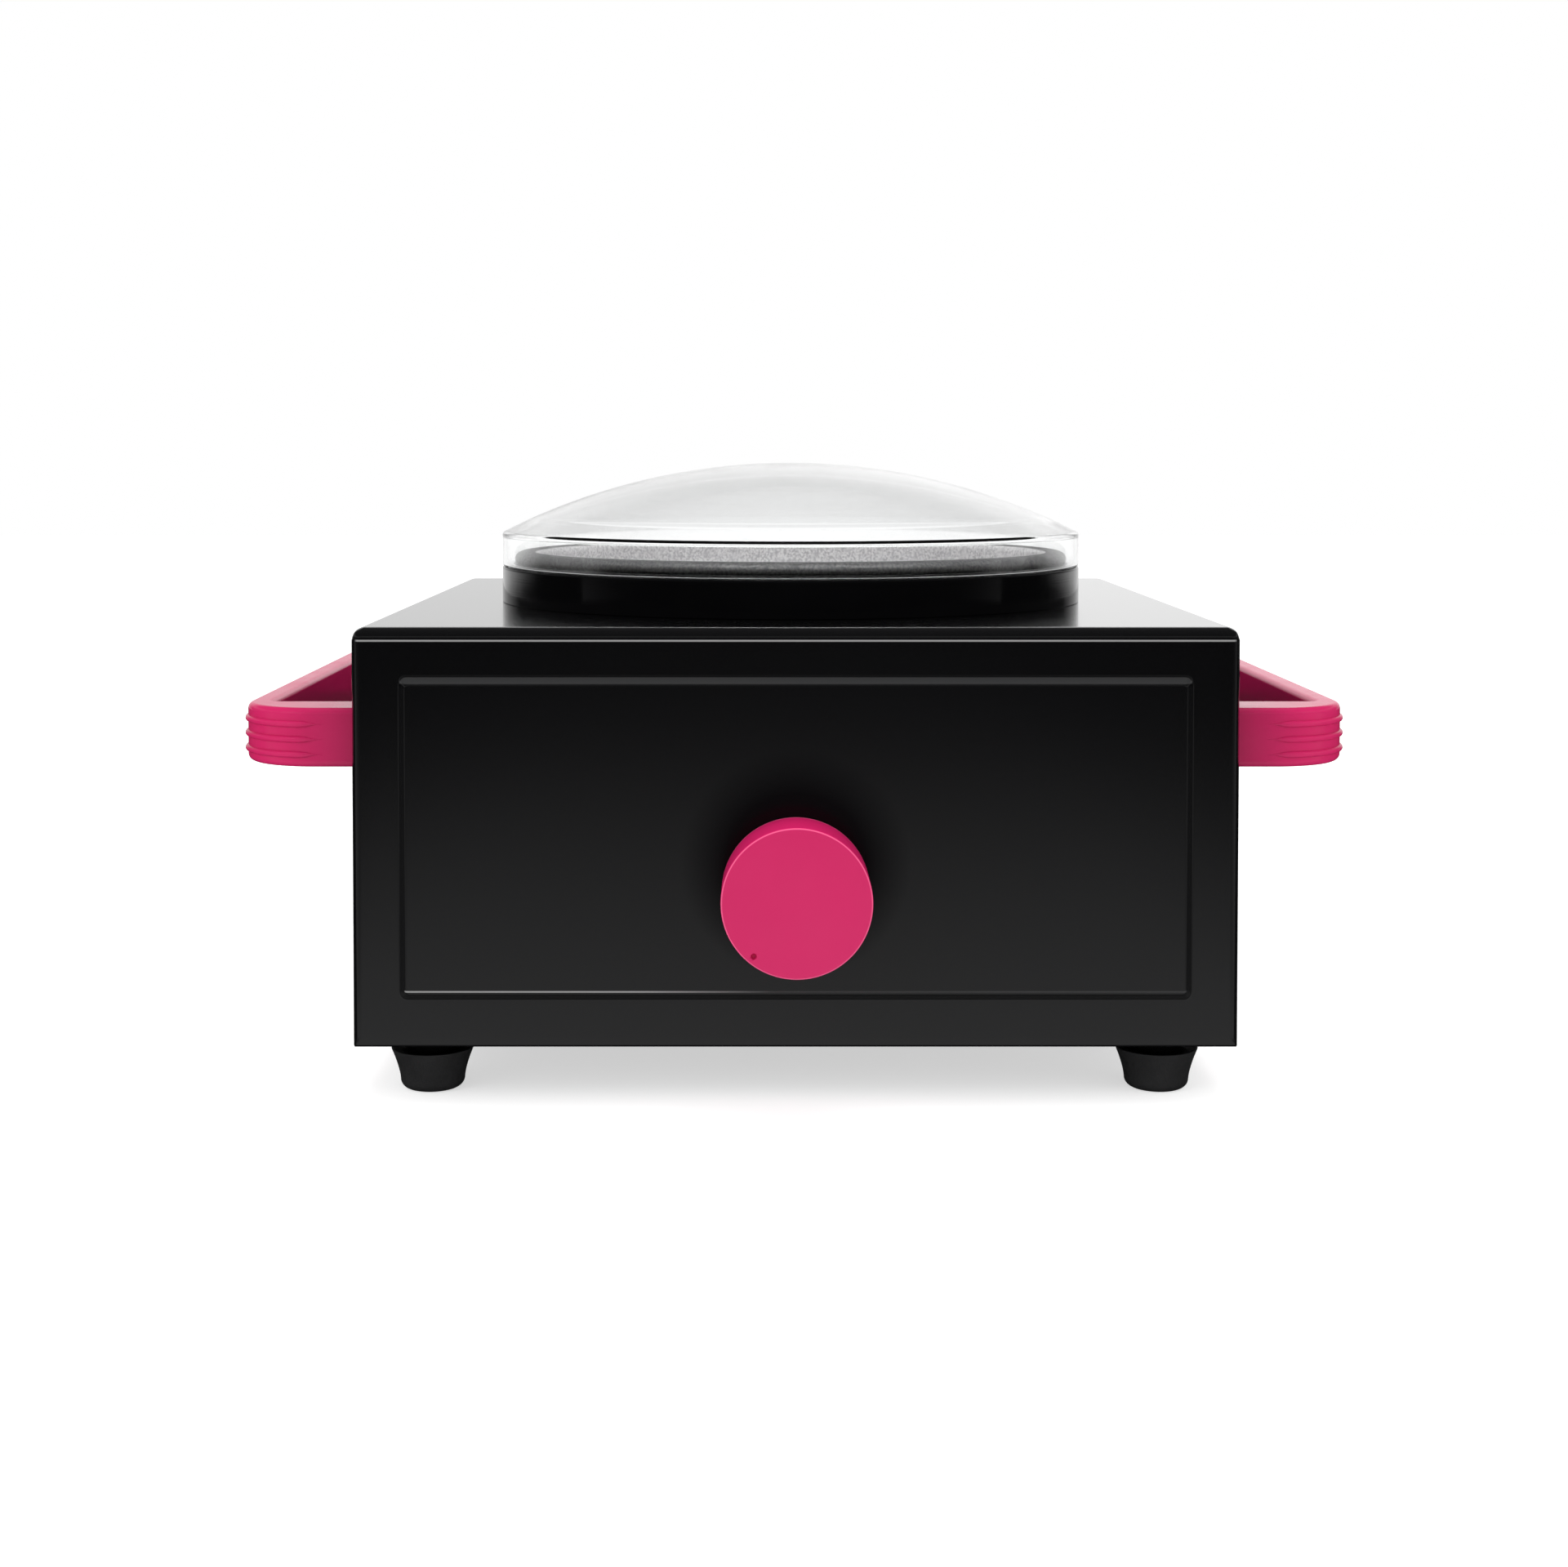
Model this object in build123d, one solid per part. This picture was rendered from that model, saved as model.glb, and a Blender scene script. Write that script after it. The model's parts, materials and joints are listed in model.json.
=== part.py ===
from build123d import *
import os
from math import atan2, cos, radians, sin, sqrt, tan

# A table-top wax warmer, in millimetres: a square sheet-steel box on four rubber feet.
# A lift-out pot hangs in a heated well in its top, under a clear domed lid.
# The origin is at the bottom centre of the whole, +Z is up and the front faces -Y.

# Clearances
SEAT_GAP = 0.2
SLIP = 0.1
RUNNING_FIT = 0.05
SCREW_PLAY = 0.3
COLLAR_PLAY = 0.4

# Room in the box round the heating well, for the leads, the thermostat and the insulation
SIDE_ROOM = 36.0
FRONT_ROOM = 36.0
FLOOR_ROOM = 25.7

# Heating well and gasket
WELL_R = 84.0
WELL_WALL = 1.5
WELL_DEPTH = 88.0
WELL_CORNER = 9.0
WELL_FLANGE_W = 6.2
WELL_HOLE_PLAY = 0.5
GASKET_T = 1.0

# Sheet-steel cover, folded and pressed
SHEET = 1.0
CORNER_BEND = 3.0
TOP_BEND = 2.5
LIP_W = 12.0
LIP_ROUND = 1.2
PANEL_BORDER = 13.0
PANEL_BEVEL = 3.0
PANEL_RAISE = 2.75
PANEL_CORNER = 2.2
CROWN_CORNER = 1.0
PANEL_ROUND = 0.7

# Base plate
BASE_SHEET = 1.0
BASE_INSET = 6.0
BASE_CORNER = 5.0
VENT_LENGTH = 34.0
VENT_WIDTH = 4.0
VENT_PITCH = 12.0
VENT_ROWS = 7
VENT_COLUMN_X = 23.0
BASE_SCREW_R = 1.4
BASE_SCREW_LENGTH = 6.0
BASE_SCREW_HEAD_H = 0.5
BASE_SCREW_Y = 60.0

# Rubber feet and their screws
FOOT_H = 15.0
FOOT_NECK_R = 8.0
FOOT_NECK_H = 4.2
FOOT_TOP_R = 11.6
FOOT_LOW_R = 8.9
FOOT_ROUND = 2.5
FOOT_FROM_SIDE = 19.0
FOOT_FROM_FRONT = 20.0
FOOT_SINK_DEPTH = 5.0
FOOT_SCREW_R = 2.0
FOOT_SCREW_HEAD_R = 3.8
FOOT_SCREW_HEAD_H = 2.4
FOOT_NUT_H = 3.2
FOOT_NUT_ACROSS = 7.0

# Side handles
HANDLE_REACH = 35.0
HANDLE_LENGTH = 212.0
HANDLE_T = 16.4
HANDLE_UP = 74.0
HANDLE_CORNER = 22.0
HANDLE_ROUND = 1.8
GRIP_W = 7.0
GAP_LENGTH = 174.0
GAP_CORNER = 3.0
RIB_COUNT = 3
RIB_PITCH = 4.2
RIB_DROP = 0.45
RIB_W = 1.1
RIB_RAISE = 0.8
RIB_START = 10.0
RIB_ROOT = 2.0
HANDLE_SCREW_R = 2.5
HANDLE_SCREW_DEPTH = 16.0
HANDLE_SCREW_HEAD_R = 4.6
HANDLE_SCREW_HEAD_H = 3.0
WASHER_R = 6.5
WASHER_T = 1.0

# Collar ring on the top
COLLAR_WALL = 1.5
COLLAR_H = 11.3
COLLAR_ROUND = 0.8
SPIGOT_WALL = 1.4
SPIGOT_H = 1.0
COLLAR_SCREW_INSET = 2.2
COLLAR_SCREW_R = 1.25
COLLAR_SCREW_LENGTH = 8.0
COLLAR_SCREW_HEAD_R = 2.4
COLLAR_SCREW_HEAD_H = 1.8
COLLAR_SCREWS = 4

# Wax pot
POT_WALL = 1.2
POT_PLAY = 0.9
POT_TAPER = 2.0
POT_CORNER = 9.0
POT_FLOOR_GAP = 0.5
BEAD_R = 2.2
BEAD_PLAY = 0.4

# Lid
LID_WALL = 1.8
LID_SKIRT_H = 10.3
LID_RISE = 22.0
LID_ROUND = 1.2

# Control knob
KNOB_R = 19.9
KNOB_H = 18.0
KNOB_GAP = 0.8
KNOB_UP = 43.3
KNOB_WALL = 1.6
KNOB_CAP = 2.5
KNOB_ROUND = 1.0
HUB_R = 6.5
HUB_SHORT = 1.0
DOT_R = 0.75
DOT_INSET = 2.2
DOT_TURN = 219.4

# Thermostat behind the knob
THERMO_H = 36.0
THERMO_D = 19.0
THERMO_BUSH_R = 5.0
THERMO_EDGE = 4.0
THERMO_SCREW_ROOM = 0.8
THERMO_SCREW_R = 1.9
THERMO_SCREW_LENGTH = 8.0
THERMO_SCREW_HEAD_R = 3.5
THERMO_SCREW_HEAD_H = 2.1
THERMO_TAB_W = 6.3
THERMO_TAB_T = 0.8
THERMO_TAB_H = 8.0
THERMO_TAB_X = (-12.0, 0.0)
SHAFT_R = 3.0
SHAFT_SEAT = 8.0
SHAFT_FLAT = 1.6
CLIP_T = 0.4
CLIP_LENGTH = 9.0

# Sensor bulb, capillary and fuse under the well
BULB_R = 3.0
BULB_LENGTH = 70.0
BULB_CLIP_T = 0.8
BULB_CLIP_W = 8.0
BULB_CLIP_FOOT = 7.0
CAPILLARY_R = 0.75
CAPILLARY_X = 12.0
FUSE_R = 2.0
FUSE_LENGTH = 12.0
FUSE_X = -34.0
FUSE_CLIP_T = 0.5

# Heater band round the well
BAND_T = 2.0
BAND_H = 45.0
BAND_UP = 9.0
BAND_SPLIT = 10.0
EAR_REACH = 12.0
EAR_T = 1.5
EAR_H = 24.0
CLAMP_R = 1.9
CLAMP_HEAD_R = 3.5
CLAMP_HEAD_H = 2.4
CLAMP_NUT_ACROSS = 7.0
CLAMP_NUT_H = 3.0
POST_R = 3.2
POST_LENGTH = 6.0
POST_TURN = 15.0
POST_UP = 8.0
SLEEVE_T = 8.0
SLEEVE_GAP_TURN = 64.0

# Terminals, earth and leads
BLOCK_FROM_SIDE = 50.0
BLOCK_FROM_REAR = 36.0
BLOCK_W = 34.0
BLOCK_D = 18.0
BLOCK_H = 13.0
BLOCK_WAYS = 3
BLOCK_PITCH = 10.0
BLOCK_HOLE_R = 1.7
BLOCK_SCREW_R = 1.4
EARTH_FROM_BLOCK = 40.0
EARTH_FROM_REAR = 20.0
EARTH_R = 2.0
EARTH_H = 14.0
LEAD_R = 1.2
LEAD_UP = 8.0

# Cord gland in the rear wall
GLAND_FROM_SIDE = 50.0
GLAND_UP = 24.0
GLAND_BORE_R = 3.6
GLAND_BARREL_R = 6.8
GLAND_FLANGE_R = 9.5
GLAND_FLANGE_T = 3.0
GLAND_NOSE_R = 6.0
GLAND_NOSE = 12.0
GLAND_TAIL = 8.0
GLAND_NUT_T = 4.5
GLAND_NUT_ACROSS = 19.0

# Levels and places worked out from the sizes above
BODY_W = 2 * (WELL_R + SIDE_ROOM)
BODY_D = 2 * (WELL_R + FRONT_ROOM)
BODY_H = WELL_DEPTH + FLOOR_ROOM
BASE_Z = FOOT_H
SHELL_Z = BASE_Z + BASE_SHEET
TOP_Z = SHELL_Z + BODY_H
FRONT_Y = -BODY_D / 2
CROWN_Y = FRONT_Y - PANEL_RAISE
PANEL_Z = SHELL_Z + BODY_H / 2
KNOB_Z = SHELL_Z + KNOB_UP
HANDLE_Z = SHELL_Z + HANDLE_UP
HANDLE_MID_Z = HANDLE_Z + HANDLE_T / 2
ARM_W = (HANDLE_LENGTH - GAP_LENGTH) / 2
ARM_Y = GAP_LENGTH / 2 + ARM_W / 2
FOOT_X = BODY_W / 2 - FOOT_FROM_SIDE
FOOT_Y = BODY_D / 2 - FOOT_FROM_FRONT
BASE_SCREW_X = BODY_W / 2 - (BASE_INSET + LIP_W) / 2
GASKET_Z = TOP_Z + GASKET_T
FLANGE_Z = GASKET_Z + WELL_WALL
WELL_Z = TOP_Z - WELL_DEPTH
WELL_HOLE_R = WELL_R + WELL_HOLE_PLAY
WELL_FLANGE_R = WELL_R + WELL_FLANGE_W
COLLAR_BORE_R = WELL_HOLE_R + SLIP
COLLAR_R = WELL_FLANGE_R + SCREW_PLAY + COLLAR_WALL
COLLAR_SCREW_AT_R = WELL_FLANGE_R - COLLAR_SCREW_INSET
COLLAR_Z = TOP_Z + COLLAR_H
SPIGOT_Z = COLLAR_Z + SPIGOT_H
SPIGOT_R = COLLAR_R - LID_WALL - COLLAR_PLAY
BEAD_AT_R = SPIGOT_R - SPIGOT_WALL - BEAD_PLAY - BEAD_R
BEAD_Z = COLLAR_Z + SEAT_GAP + BEAD_R
POT_TOP_R = WELL_R - WELL_WALL - POT_PLAY
POT_LOW_R = POT_TOP_R - POT_TAPER
POT_Z = WELL_Z + WELL_WALL + POT_FLOOR_GAP
POT_RIM_Z = BEAD_Z + BEAD_R
LID_Z = COLLAR_Z + SEAT_GAP
LID_EDGE_Z = LID_Z + LID_SKIRT_H
KNOB_Y = CROWN_Y - KNOB_GAP
DOT_AT_R = KNOB_R - DOT_INSET
THERMO_SCREW_SPAN = 2 * (KNOB_R - KNOB_WALL - THERMO_SCREW_ROOM - THERMO_SCREW_HEAD_R)
THERMO_W = THERMO_SCREW_SPAN + 2 * THERMO_EDGE
THERMO_Y = CROWN_Y + SHEET
THERMO_LOW_Z = KNOB_Z - THERMO_H / 2
THERMO_MID_Y = THERMO_Y + THERMO_D / 2
BULB_Z = WELL_Z - SLIP - BULB_R
BAND_Z = WELL_Z + BAND_UP
BAND_MID_Z = BAND_Z + BAND_H / 2
BAND_R = WELL_R + SLIP
SLEEVE_R = BAND_R + BAND_T + SLIP
EAR_MID_R = BAND_R + BAND_T + EAR_REACH / 2
POST_Z = BAND_Z + POST_UP
LEAD_Z = SHELL_Z + LEAD_UP
REAR_Y = BODY_D / 2
BLOCK_X = BODY_W / 2 - BLOCK_FROM_SIDE
BLOCK_Y = REAR_Y - BLOCK_FROM_REAR
EARTH_X = BLOCK_X - EARTH_FROM_BLOCK
EARTH_Y = REAR_Y - EARTH_FROM_REAR
GLAND_X = BODY_W / 2 - GLAND_FROM_SIDE
GLAND_Z = SHELL_Z + GLAND_UP
FRONT_REACH = -KNOB_Y + KNOB_H
REAR_REACH = REAR_Y + GLAND_NOSE
BODY_Y = (FRONT_REACH - REAR_REACH) / 2

os.makedirs("parts", exist_ok=True)


def save(name, *solids):
    """Writes one sub-part, moved so that the whole is centred on the origin."""
    placed = [Pos(0, BODY_Y, 0) * solid for solid in solids]
    export_step(placed[0] if len(placed) == 1 else Compound(placed), f"parts/{name}.step")


def rod(radius, start, end):
    """A round bar from one point to another."""
    way = Vector(*end) - Vector(*start)
    return extrude(Plane(origin=start, z_dir=way) * Circle(radius), way.length)


def ring(outer, inner, low, high):
    """A plain ring about the pot's axis."""
    return extrude(Pos(0, 0, low) * (Circle(outer) - Circle(inner)), high - low)


def turned(*outline):
    """A solid turned about the pot's axis from points of radius and height."""
    return revolve(Plane.XZ * make_face(Polyline(*outline, close=True)), Axis.Z)


def cup(top_r, low_r, corner, low, high):
    """The solid shape of a tapered cup with a rounded floor edge."""
    block = turned((0, low), (low_r, low), (top_r, high), (0, high))
    return fillet(block.edges().group_by(Axis.Z)[0], corner)


def pan_screw(radius, length, head_r, head_h):
    """A pan-head screw along +Z, with its head just under the origin."""
    head = extrude(Circle(head_r), -head_h)
    head = fillet(head.edges().group_by(Axis.Z)[0], head_h * 0.4)
    return head + extrude(Circle(radius), length)


def hex_nut(across, bore, height):
    """A hexagon nut along +Z from the origin."""
    face = RegularPolygon(across / 2, 6, major_radius=False) - Circle(bore)
    return extrude(face, height)


def lead(radius, bend, *points):
    """A round wire or tube along straight runs joined by arcs."""
    path = FilletPolyline(*points, radius=bend)
    start = Plane(origin=path @ 0, z_dir=path % 0)
    return sweep(start * Circle(radius), path)


def front_plane(x, y, z):
    """A plane that looks out of the front, with x to the right and y up."""
    return Plane(origin=(x, y, z), x_dir=(1, 0, 0), z_dir=(0, -1, 0))


def corners(x, y):
    """The four places at plus and minus x and y."""
    return [(a * x, b * y) for b in (-1, 1) for a in (-1, 1)]


def round_box(width, depth, corner, edge, low, high):
    """A box with rounded uprights and a rounded top edge."""
    block = extrude(Pos(0, 0, low) * RectangleRounded(width, depth, corner), high - low)
    return fillet(block.edges().group_by(Axis.Z)[-1], edge)


def panel_block(inset, back_y, front_y):
    """The pressed panel's shape, drawn in by an inset for its inner face."""
    crown_w = BODY_W - 2 * (PANEL_BORDER + PANEL_BEVEL + inset)
    crown_h = BODY_H - 2 * (PANEL_BORDER + PANEL_BEVEL + inset)
    foot_w = crown_w + 2 * PANEL_BEVEL
    foot_h = crown_h + 2 * PANEL_BEVEL
    foot = RectangleRounded(foot_w, foot_h, PANEL_CORNER)
    crown = RectangleRounded(crown_w, crown_h, CROWN_CORNER)
    return loft([front_plane(0, back_y, PANEL_Z) * foot, front_plane(0, front_y, PANEL_Z) * crown])


def handle_screw_places():
    """Where the four handle screws cross the side walls, as side and y."""
    return [(side, y) for side in (-1, 1) for y in (-ARM_Y, ARM_Y)]


def thermostat_screw_places():
    """The x of the two thermostat screws."""
    return [side * THERMO_SCREW_SPAN / 2 for side in (-1, 1)]


def collar_screw_places():
    """The collar's screws, evenly spaced and starting on the diagonal."""
    turns = [radians(360 * (k + 0.5) / COLLAR_SCREWS) for k in range(COLLAR_SCREWS)]
    return [(COLLAR_SCREW_AT_R * cos(turn), COLLAR_SCREW_AT_R * sin(turn)) for turn in turns]


def make_body_shell():
    """The cover: one sheet thickness all over, open below inside a turned-in lip."""
    outer = round_box(BODY_W, BODY_D, CORNER_BEND + SHEET, TOP_BEND + SHEET, SHELL_Z, TOP_Z)
    outer = fillet(outer.edges().group_by(Axis.Z)[0], LIP_ROUND)
    outer += panel_block(0, FRONT_Y, CROWN_Y)
    rims = outer.edges().filter_by(lambda e: e.bounding_box().max.Y < CROWN_Y + SHEET / 100)
    outer = fillet(rims, PANEL_ROUND)
    inner = round_box(
        BODY_W - 2 * SHEET, BODY_D - 2 * SHEET, CORNER_BEND, TOP_BEND, SHELL_Z + SHEET, TOP_Z - SHEET
    )
    inset = SHEET * tan(atan2(PANEL_RAISE, PANEL_BEVEL) / 2)
    inner += panel_block(inset, FRONT_Y + SHEET, CROWN_Y + SHEET)
    shell = outer - inner
    mouth = RectangleRounded(BODY_W - 2 * LIP_W, BODY_D - 2 * LIP_W, CORNER_BEND)
    shell -= extrude(Pos(0, 0, SHELL_Z) * mouth, 2 * SHEET)
    shell -= rod(WELL_HOLE_R, (0, 0, TOP_Z - 2 * SHEET), (0, 0, TOP_Z))
    for x, y in collar_screw_places():
        shell -= rod(COLLAR_SCREW_R + SCREW_PLAY, (x, y, TOP_Z - 2 * SHEET), (x, y, TOP_Z))
    for x, y in base_screw_places():
        shell -= rod(BASE_SCREW_R + RUNNING_FIT, (x, y, SHELL_Z), (x, y, SHELL_Z + SHEET))
    for side, y in handle_screw_places():
        wall = side * BODY_W / 2
        inside = wall - side * 2 * SHEET
        shell -= rod(HANDLE_SCREW_R + SCREW_PLAY, (inside, y, HANDLE_MID_Z), (wall, y, HANDLE_MID_Z))
    shell -= rod(THERMO_BUSH_R + SCREW_PLAY, (0, THERMO_Y, KNOB_Z), (0, CROWN_Y, KNOB_Z))
    for x in thermostat_screw_places():
        shell -= rod(THERMO_SCREW_R + SCREW_PLAY, (x, THERMO_Y, KNOB_Z), (x, CROWN_Y, KNOB_Z))
    gland_r = GLAND_BARREL_R + SCREW_PLAY
    shell -= rod(gland_r, (GLAND_X, REAR_Y - 2 * SHEET, GLAND_Z), (GLAND_X, REAR_Y, GLAND_Z))
    return shell


def base_screw_places():
    """Two screws along each side of the base, through the cover's lip."""
    depth_way = BODY_D / 2 - (BASE_INSET + LIP_W) / 2
    sides = [(side * BASE_SCREW_X, along) for side in (-1, 1) for along in (-BASE_SCREW_Y, BASE_SCREW_Y)]
    ends = [(along, end * depth_way) for end in (-1, 1) for along in (-BASE_SCREW_Y, BASE_SCREW_Y)]
    return sides + ends


def make_base_plate():
    """The flat bottom sheet, with two columns of vent slots."""
    plate = RectangleRounded(BODY_W - 2 * BASE_INSET, BODY_D - 2 * BASE_INSET, BASE_CORNER)
    for column in (-VENT_COLUMN_X, VENT_COLUMN_X):
        for row in range(VENT_ROWS):
            y = (row - (VENT_ROWS - 1) / 2) * VENT_PITCH
            plate -= Pos(column, y) * SlotOverall(VENT_LENGTH, VENT_WIDTH)
    for x, y in corners(FOOT_X, FOOT_Y):
        plate -= Pos(x, y) * Circle(FOOT_SCREW_R + SCREW_PLAY)
    for x, y in base_screw_places():
        plate -= Pos(x, y) * Circle(BASE_SCREW_R + SCREW_PLAY)
    plate -= Pos(EARTH_X, EARTH_Y) * Circle(EARTH_R + SCREW_PLAY)
    return extrude(Pos(0, 0, BASE_Z) * plate, BASE_SHEET)


def make_foot():
    """A rubber foot: a neck under the base, a flared shoulder, a hollow flank and a round tread."""
    bore = FOOT_SCREW_R + SCREW_PLAY
    sink = FOOT_SCREW_HEAD_R + SCREW_PLAY
    neck_z = BASE_Z - FOOT_NECK_H
    bend = sqrt(0.5) * FOOT_ROUND
    flank = Spline((FOOT_TOP_R, neck_z), (FOOT_LOW_R, FOOT_ROUND), tangents=[(-0.6, -1), (-0.05, -1)])
    tread = ThreePointArc(
        (FOOT_LOW_R, FOOT_ROUND),
        (FOOT_LOW_R - FOOT_ROUND + bend, FOOT_ROUND - bend),
        (FOOT_LOW_R - FOOT_ROUND, 0),
    )
    outline = [
        Polyline(
            (bore, FOOT_SINK_DEPTH),
            (bore, BASE_Z),
            (FOOT_NECK_R, BASE_Z),
            (FOOT_NECK_R, neck_z),
            (FOOT_TOP_R, neck_z),
        ),
        flank,
        tread,
        Polyline((FOOT_LOW_R - FOOT_ROUND, 0), (sink, 0), (sink, FOOT_SINK_DEPTH), (bore, FOOT_SINK_DEPTH)),
    ]
    return revolve(Plane.XZ * make_face(outline), Axis.Z)


def handle_outline(grow):
    """A handle's plan on the right side, grown outwards by a margin."""
    reach = HANDLE_REACH + grow
    half = HANDLE_LENGTH / 2 + grow
    wall = BODY_W / 2
    face = Pos(wall + reach / 2, 0) * Rectangle(reach, 2 * half)
    outside = face.vertices().group_by(Axis.X)[-1]
    return fillet(outside, HANDLE_CORNER + grow)


def handle_gap():
    """The finger gap between the wall and the grip."""
    depth = HANDLE_REACH - GRIP_W
    wall = BODY_W / 2
    face = Pos(wall + depth / 2, 0) * Rectangle(depth, GAP_LENGTH)
    return fillet(face.vertices().group_by(Axis.X)[-1], GAP_CORNER)


def make_handle():
    """The right handle: a rounded loop with grip ribs wrapped round its outer face."""
    wall = BODY_W / 2
    loop = extrude(Pos(0, 0, HANDLE_Z) * (handle_outline(0) - handle_gap()), HANDLE_T)
    flat_rims = loop.edges().group_by(Axis.Z)[0] + loop.edges().group_by(Axis.Z)[-1]
    loop = fillet([e for e in flat_rims if e.center().X > wall + SHEET / 100], HANDLE_ROUND)
    band = handle_outline(RIB_RAISE) - handle_outline(-RIB_ROOT)
    keep = Pos(wall + RIB_START + HANDLE_REACH, 0) * Rectangle(2 * HANDLE_REACH, 2 * HANDLE_LENGTH)
    for k in range(RIB_COUNT):
        z = HANDLE_MID_Z + (k - (RIB_COUNT - 1) / 2) * RIB_PITCH - RIB_DROP
        loop += extrude(Pos(0, 0, z - RIB_W / 2) * (band & keep), RIB_W)
    deep = wall + HANDLE_SCREW_DEPTH
    for y in (-ARM_Y, ARM_Y):
        loop -= rod(HANDLE_SCREW_R + RUNNING_FIT, (wall, y, HANDLE_MID_Z), (deep, y, HANDLE_MID_Z))
    return loop


def make_handle_fasteners():
    """Screws from inside the box into the handle arms, and their washers."""
    screws = []
    washers = []
    for side, y in handle_screw_places():
        inside = side * (BODY_W / 2 - SHEET)
        seat = Plane(origin=(inside - side * WASHER_T, y, HANDLE_MID_Z), z_dir=(side, 0, 0))
        length = WASHER_T + SHEET + HANDLE_SCREW_DEPTH - SCREW_PLAY
        screws.append(seat * pan_screw(HANDLE_SCREW_R, length, HANDLE_SCREW_HEAD_R, HANDLE_SCREW_HEAD_H))
        washers.append(seat * extrude(Circle(WASHER_R) - Circle(HANDLE_SCREW_R + SCREW_PLAY), WASHER_T))
    return screws, washers


def make_foot_fasteners():
    """The feet's screws from below, and their nuts on the base plate."""
    head = FOOT_SINK_DEPTH
    length = BASE_Z + BASE_SHEET + FOOT_NUT_H - head + 1
    screw = pan_screw(FOOT_SCREW_R, length, FOOT_SCREW_HEAD_R, FOOT_SCREW_HEAD_H)
    nut = hex_nut(FOOT_NUT_ACROSS, FOOT_SCREW_R + RUNNING_FIT, FOOT_NUT_H)
    screws = [Pos(x, y, head) * screw for x, y in corners(FOOT_X, FOOT_Y)]
    nuts = [Pos(x, y, SHELL_Z) * nut for x, y in corners(FOOT_X, FOOT_Y)]
    return screws, nuts


def make_well():
    """The fixed aluminium cup, hung by its flange from the cover's top."""
    inner_r = WELL_R - WELL_WALL
    well = cup(WELL_R, WELL_R, WELL_CORNER, WELL_Z, FLANGE_Z)
    well += ring(WELL_FLANGE_R, inner_r, GASKET_Z, FLANGE_Z)
    well -= cup(inner_r, inner_r, WELL_CORNER - WELL_WALL, WELL_Z + WELL_WALL, FLANGE_Z)
    for x, y in collar_screw_places():
        well -= rod(COLLAR_SCREW_R + SCREW_PLAY, (x, y, GASKET_Z), (x, y, FLANGE_Z))
    return well


def make_gasket():
    """The soft ring between the cover and the well's flange."""
    gasket = ring(WELL_FLANGE_R, WELL_HOLE_R, TOP_Z, GASKET_Z)
    for x, y in collar_screw_places():
        gasket -= rod(COLLAR_SCREW_R + SCREW_PLAY, (x, y, TOP_Z), (x, y, GASKET_Z))
    return gasket


def make_collar():
    """The top ring: hollow over the flange, with a low spigot that centres the lid."""
    roof = FLANGE_Z + SLIP
    recess_r = WELL_FLANGE_R + SCREW_PLAY
    spigot_in = SPIGOT_R - SPIGOT_WALL
    collar = turned(
        (COLLAR_BORE_R, roof),
        (recess_r, roof),
        (recess_r, TOP_Z),
        (COLLAR_R, TOP_Z),
        (COLLAR_R, COLLAR_Z),
        (SPIGOT_R, COLLAR_Z),
        (SPIGOT_R, SPIGOT_Z),
        (spigot_in, SPIGOT_Z),
        (spigot_in, COLLAR_Z),
        (COLLAR_BORE_R, COLLAR_Z),
    )
    rim = [e for e in collar.edges().filter_by(GeomType.CIRCLE) if e.radius > COLLAR_R - SLIP]
    collar = fillet([e for e in rim if e.center().Z > COLLAR_Z - SLIP], COLLAR_ROUND)
    for x, y in collar_screw_places():
        collar -= rod(COLLAR_SCREW_R + RUNNING_FIT, (x, y, roof), (x, y, TOP_Z + COLLAR_SCREW_LENGTH))
    return collar


def make_collar_screws():
    """Screws up through the cover, gasket and flange into the collar."""
    length = SHEET + COLLAR_SCREW_LENGTH - SCREW_PLAY
    screw = pan_screw(COLLAR_SCREW_R, length, COLLAR_SCREW_HEAD_R, COLLAR_SCREW_HEAD_H)
    return [Pos(x, y, TOP_Z - SHEET) * screw for x, y in collar_screw_places()]


def make_pot():
    """The lift-out pot: a tapered cup whose rim turns out and rolls down into a bead."""
    inner_r = POT_TOP_R - POT_WALL
    flange_z = POT_RIM_Z - POT_WALL
    curl_r = BEAD_R - POT_WALL
    outline = [
        Polyline((0, POT_Z), (POT_LOW_R, POT_Z), (POT_TOP_R, flange_z), (BEAD_AT_R, flange_z)),
        ThreePointArc((BEAD_AT_R, flange_z), (BEAD_AT_R + curl_r, BEAD_Z), (BEAD_AT_R, BEAD_Z - curl_r)),
        Line((BEAD_AT_R, BEAD_Z - curl_r), (BEAD_AT_R, BEAD_Z - BEAD_R)),
        ThreePointArc((BEAD_AT_R, BEAD_Z - BEAD_R), (BEAD_AT_R + BEAD_R, BEAD_Z), (BEAD_AT_R, POT_RIM_Z)),
        Polyline(
            (BEAD_AT_R, POT_RIM_Z),
            (inner_r, POT_RIM_Z),
            (POT_LOW_R - POT_WALL, POT_Z + POT_WALL),
            (0, POT_Z + POT_WALL),
            (0, POT_Z),
        ),
    ]
    pot = revolve(Plane.XZ * make_face(outline), Axis.Z)
    rounds = pot.edges().filter_by(GeomType.CIRCLE)
    pot = fillet([e for e in rounds if abs(e.center().Z - POT_Z) < SLIP], POT_CORNER)
    rounds = pot.edges().filter_by(GeomType.CIRCLE)
    floor_rim = [e for e in rounds if abs(e.center().Z - POT_Z - POT_WALL) < SLIP]
    return fillet([e for e in floor_rim if e.radius > POT_LOW_R - 2 * POT_WALL], POT_CORNER - POT_WALL)


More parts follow.
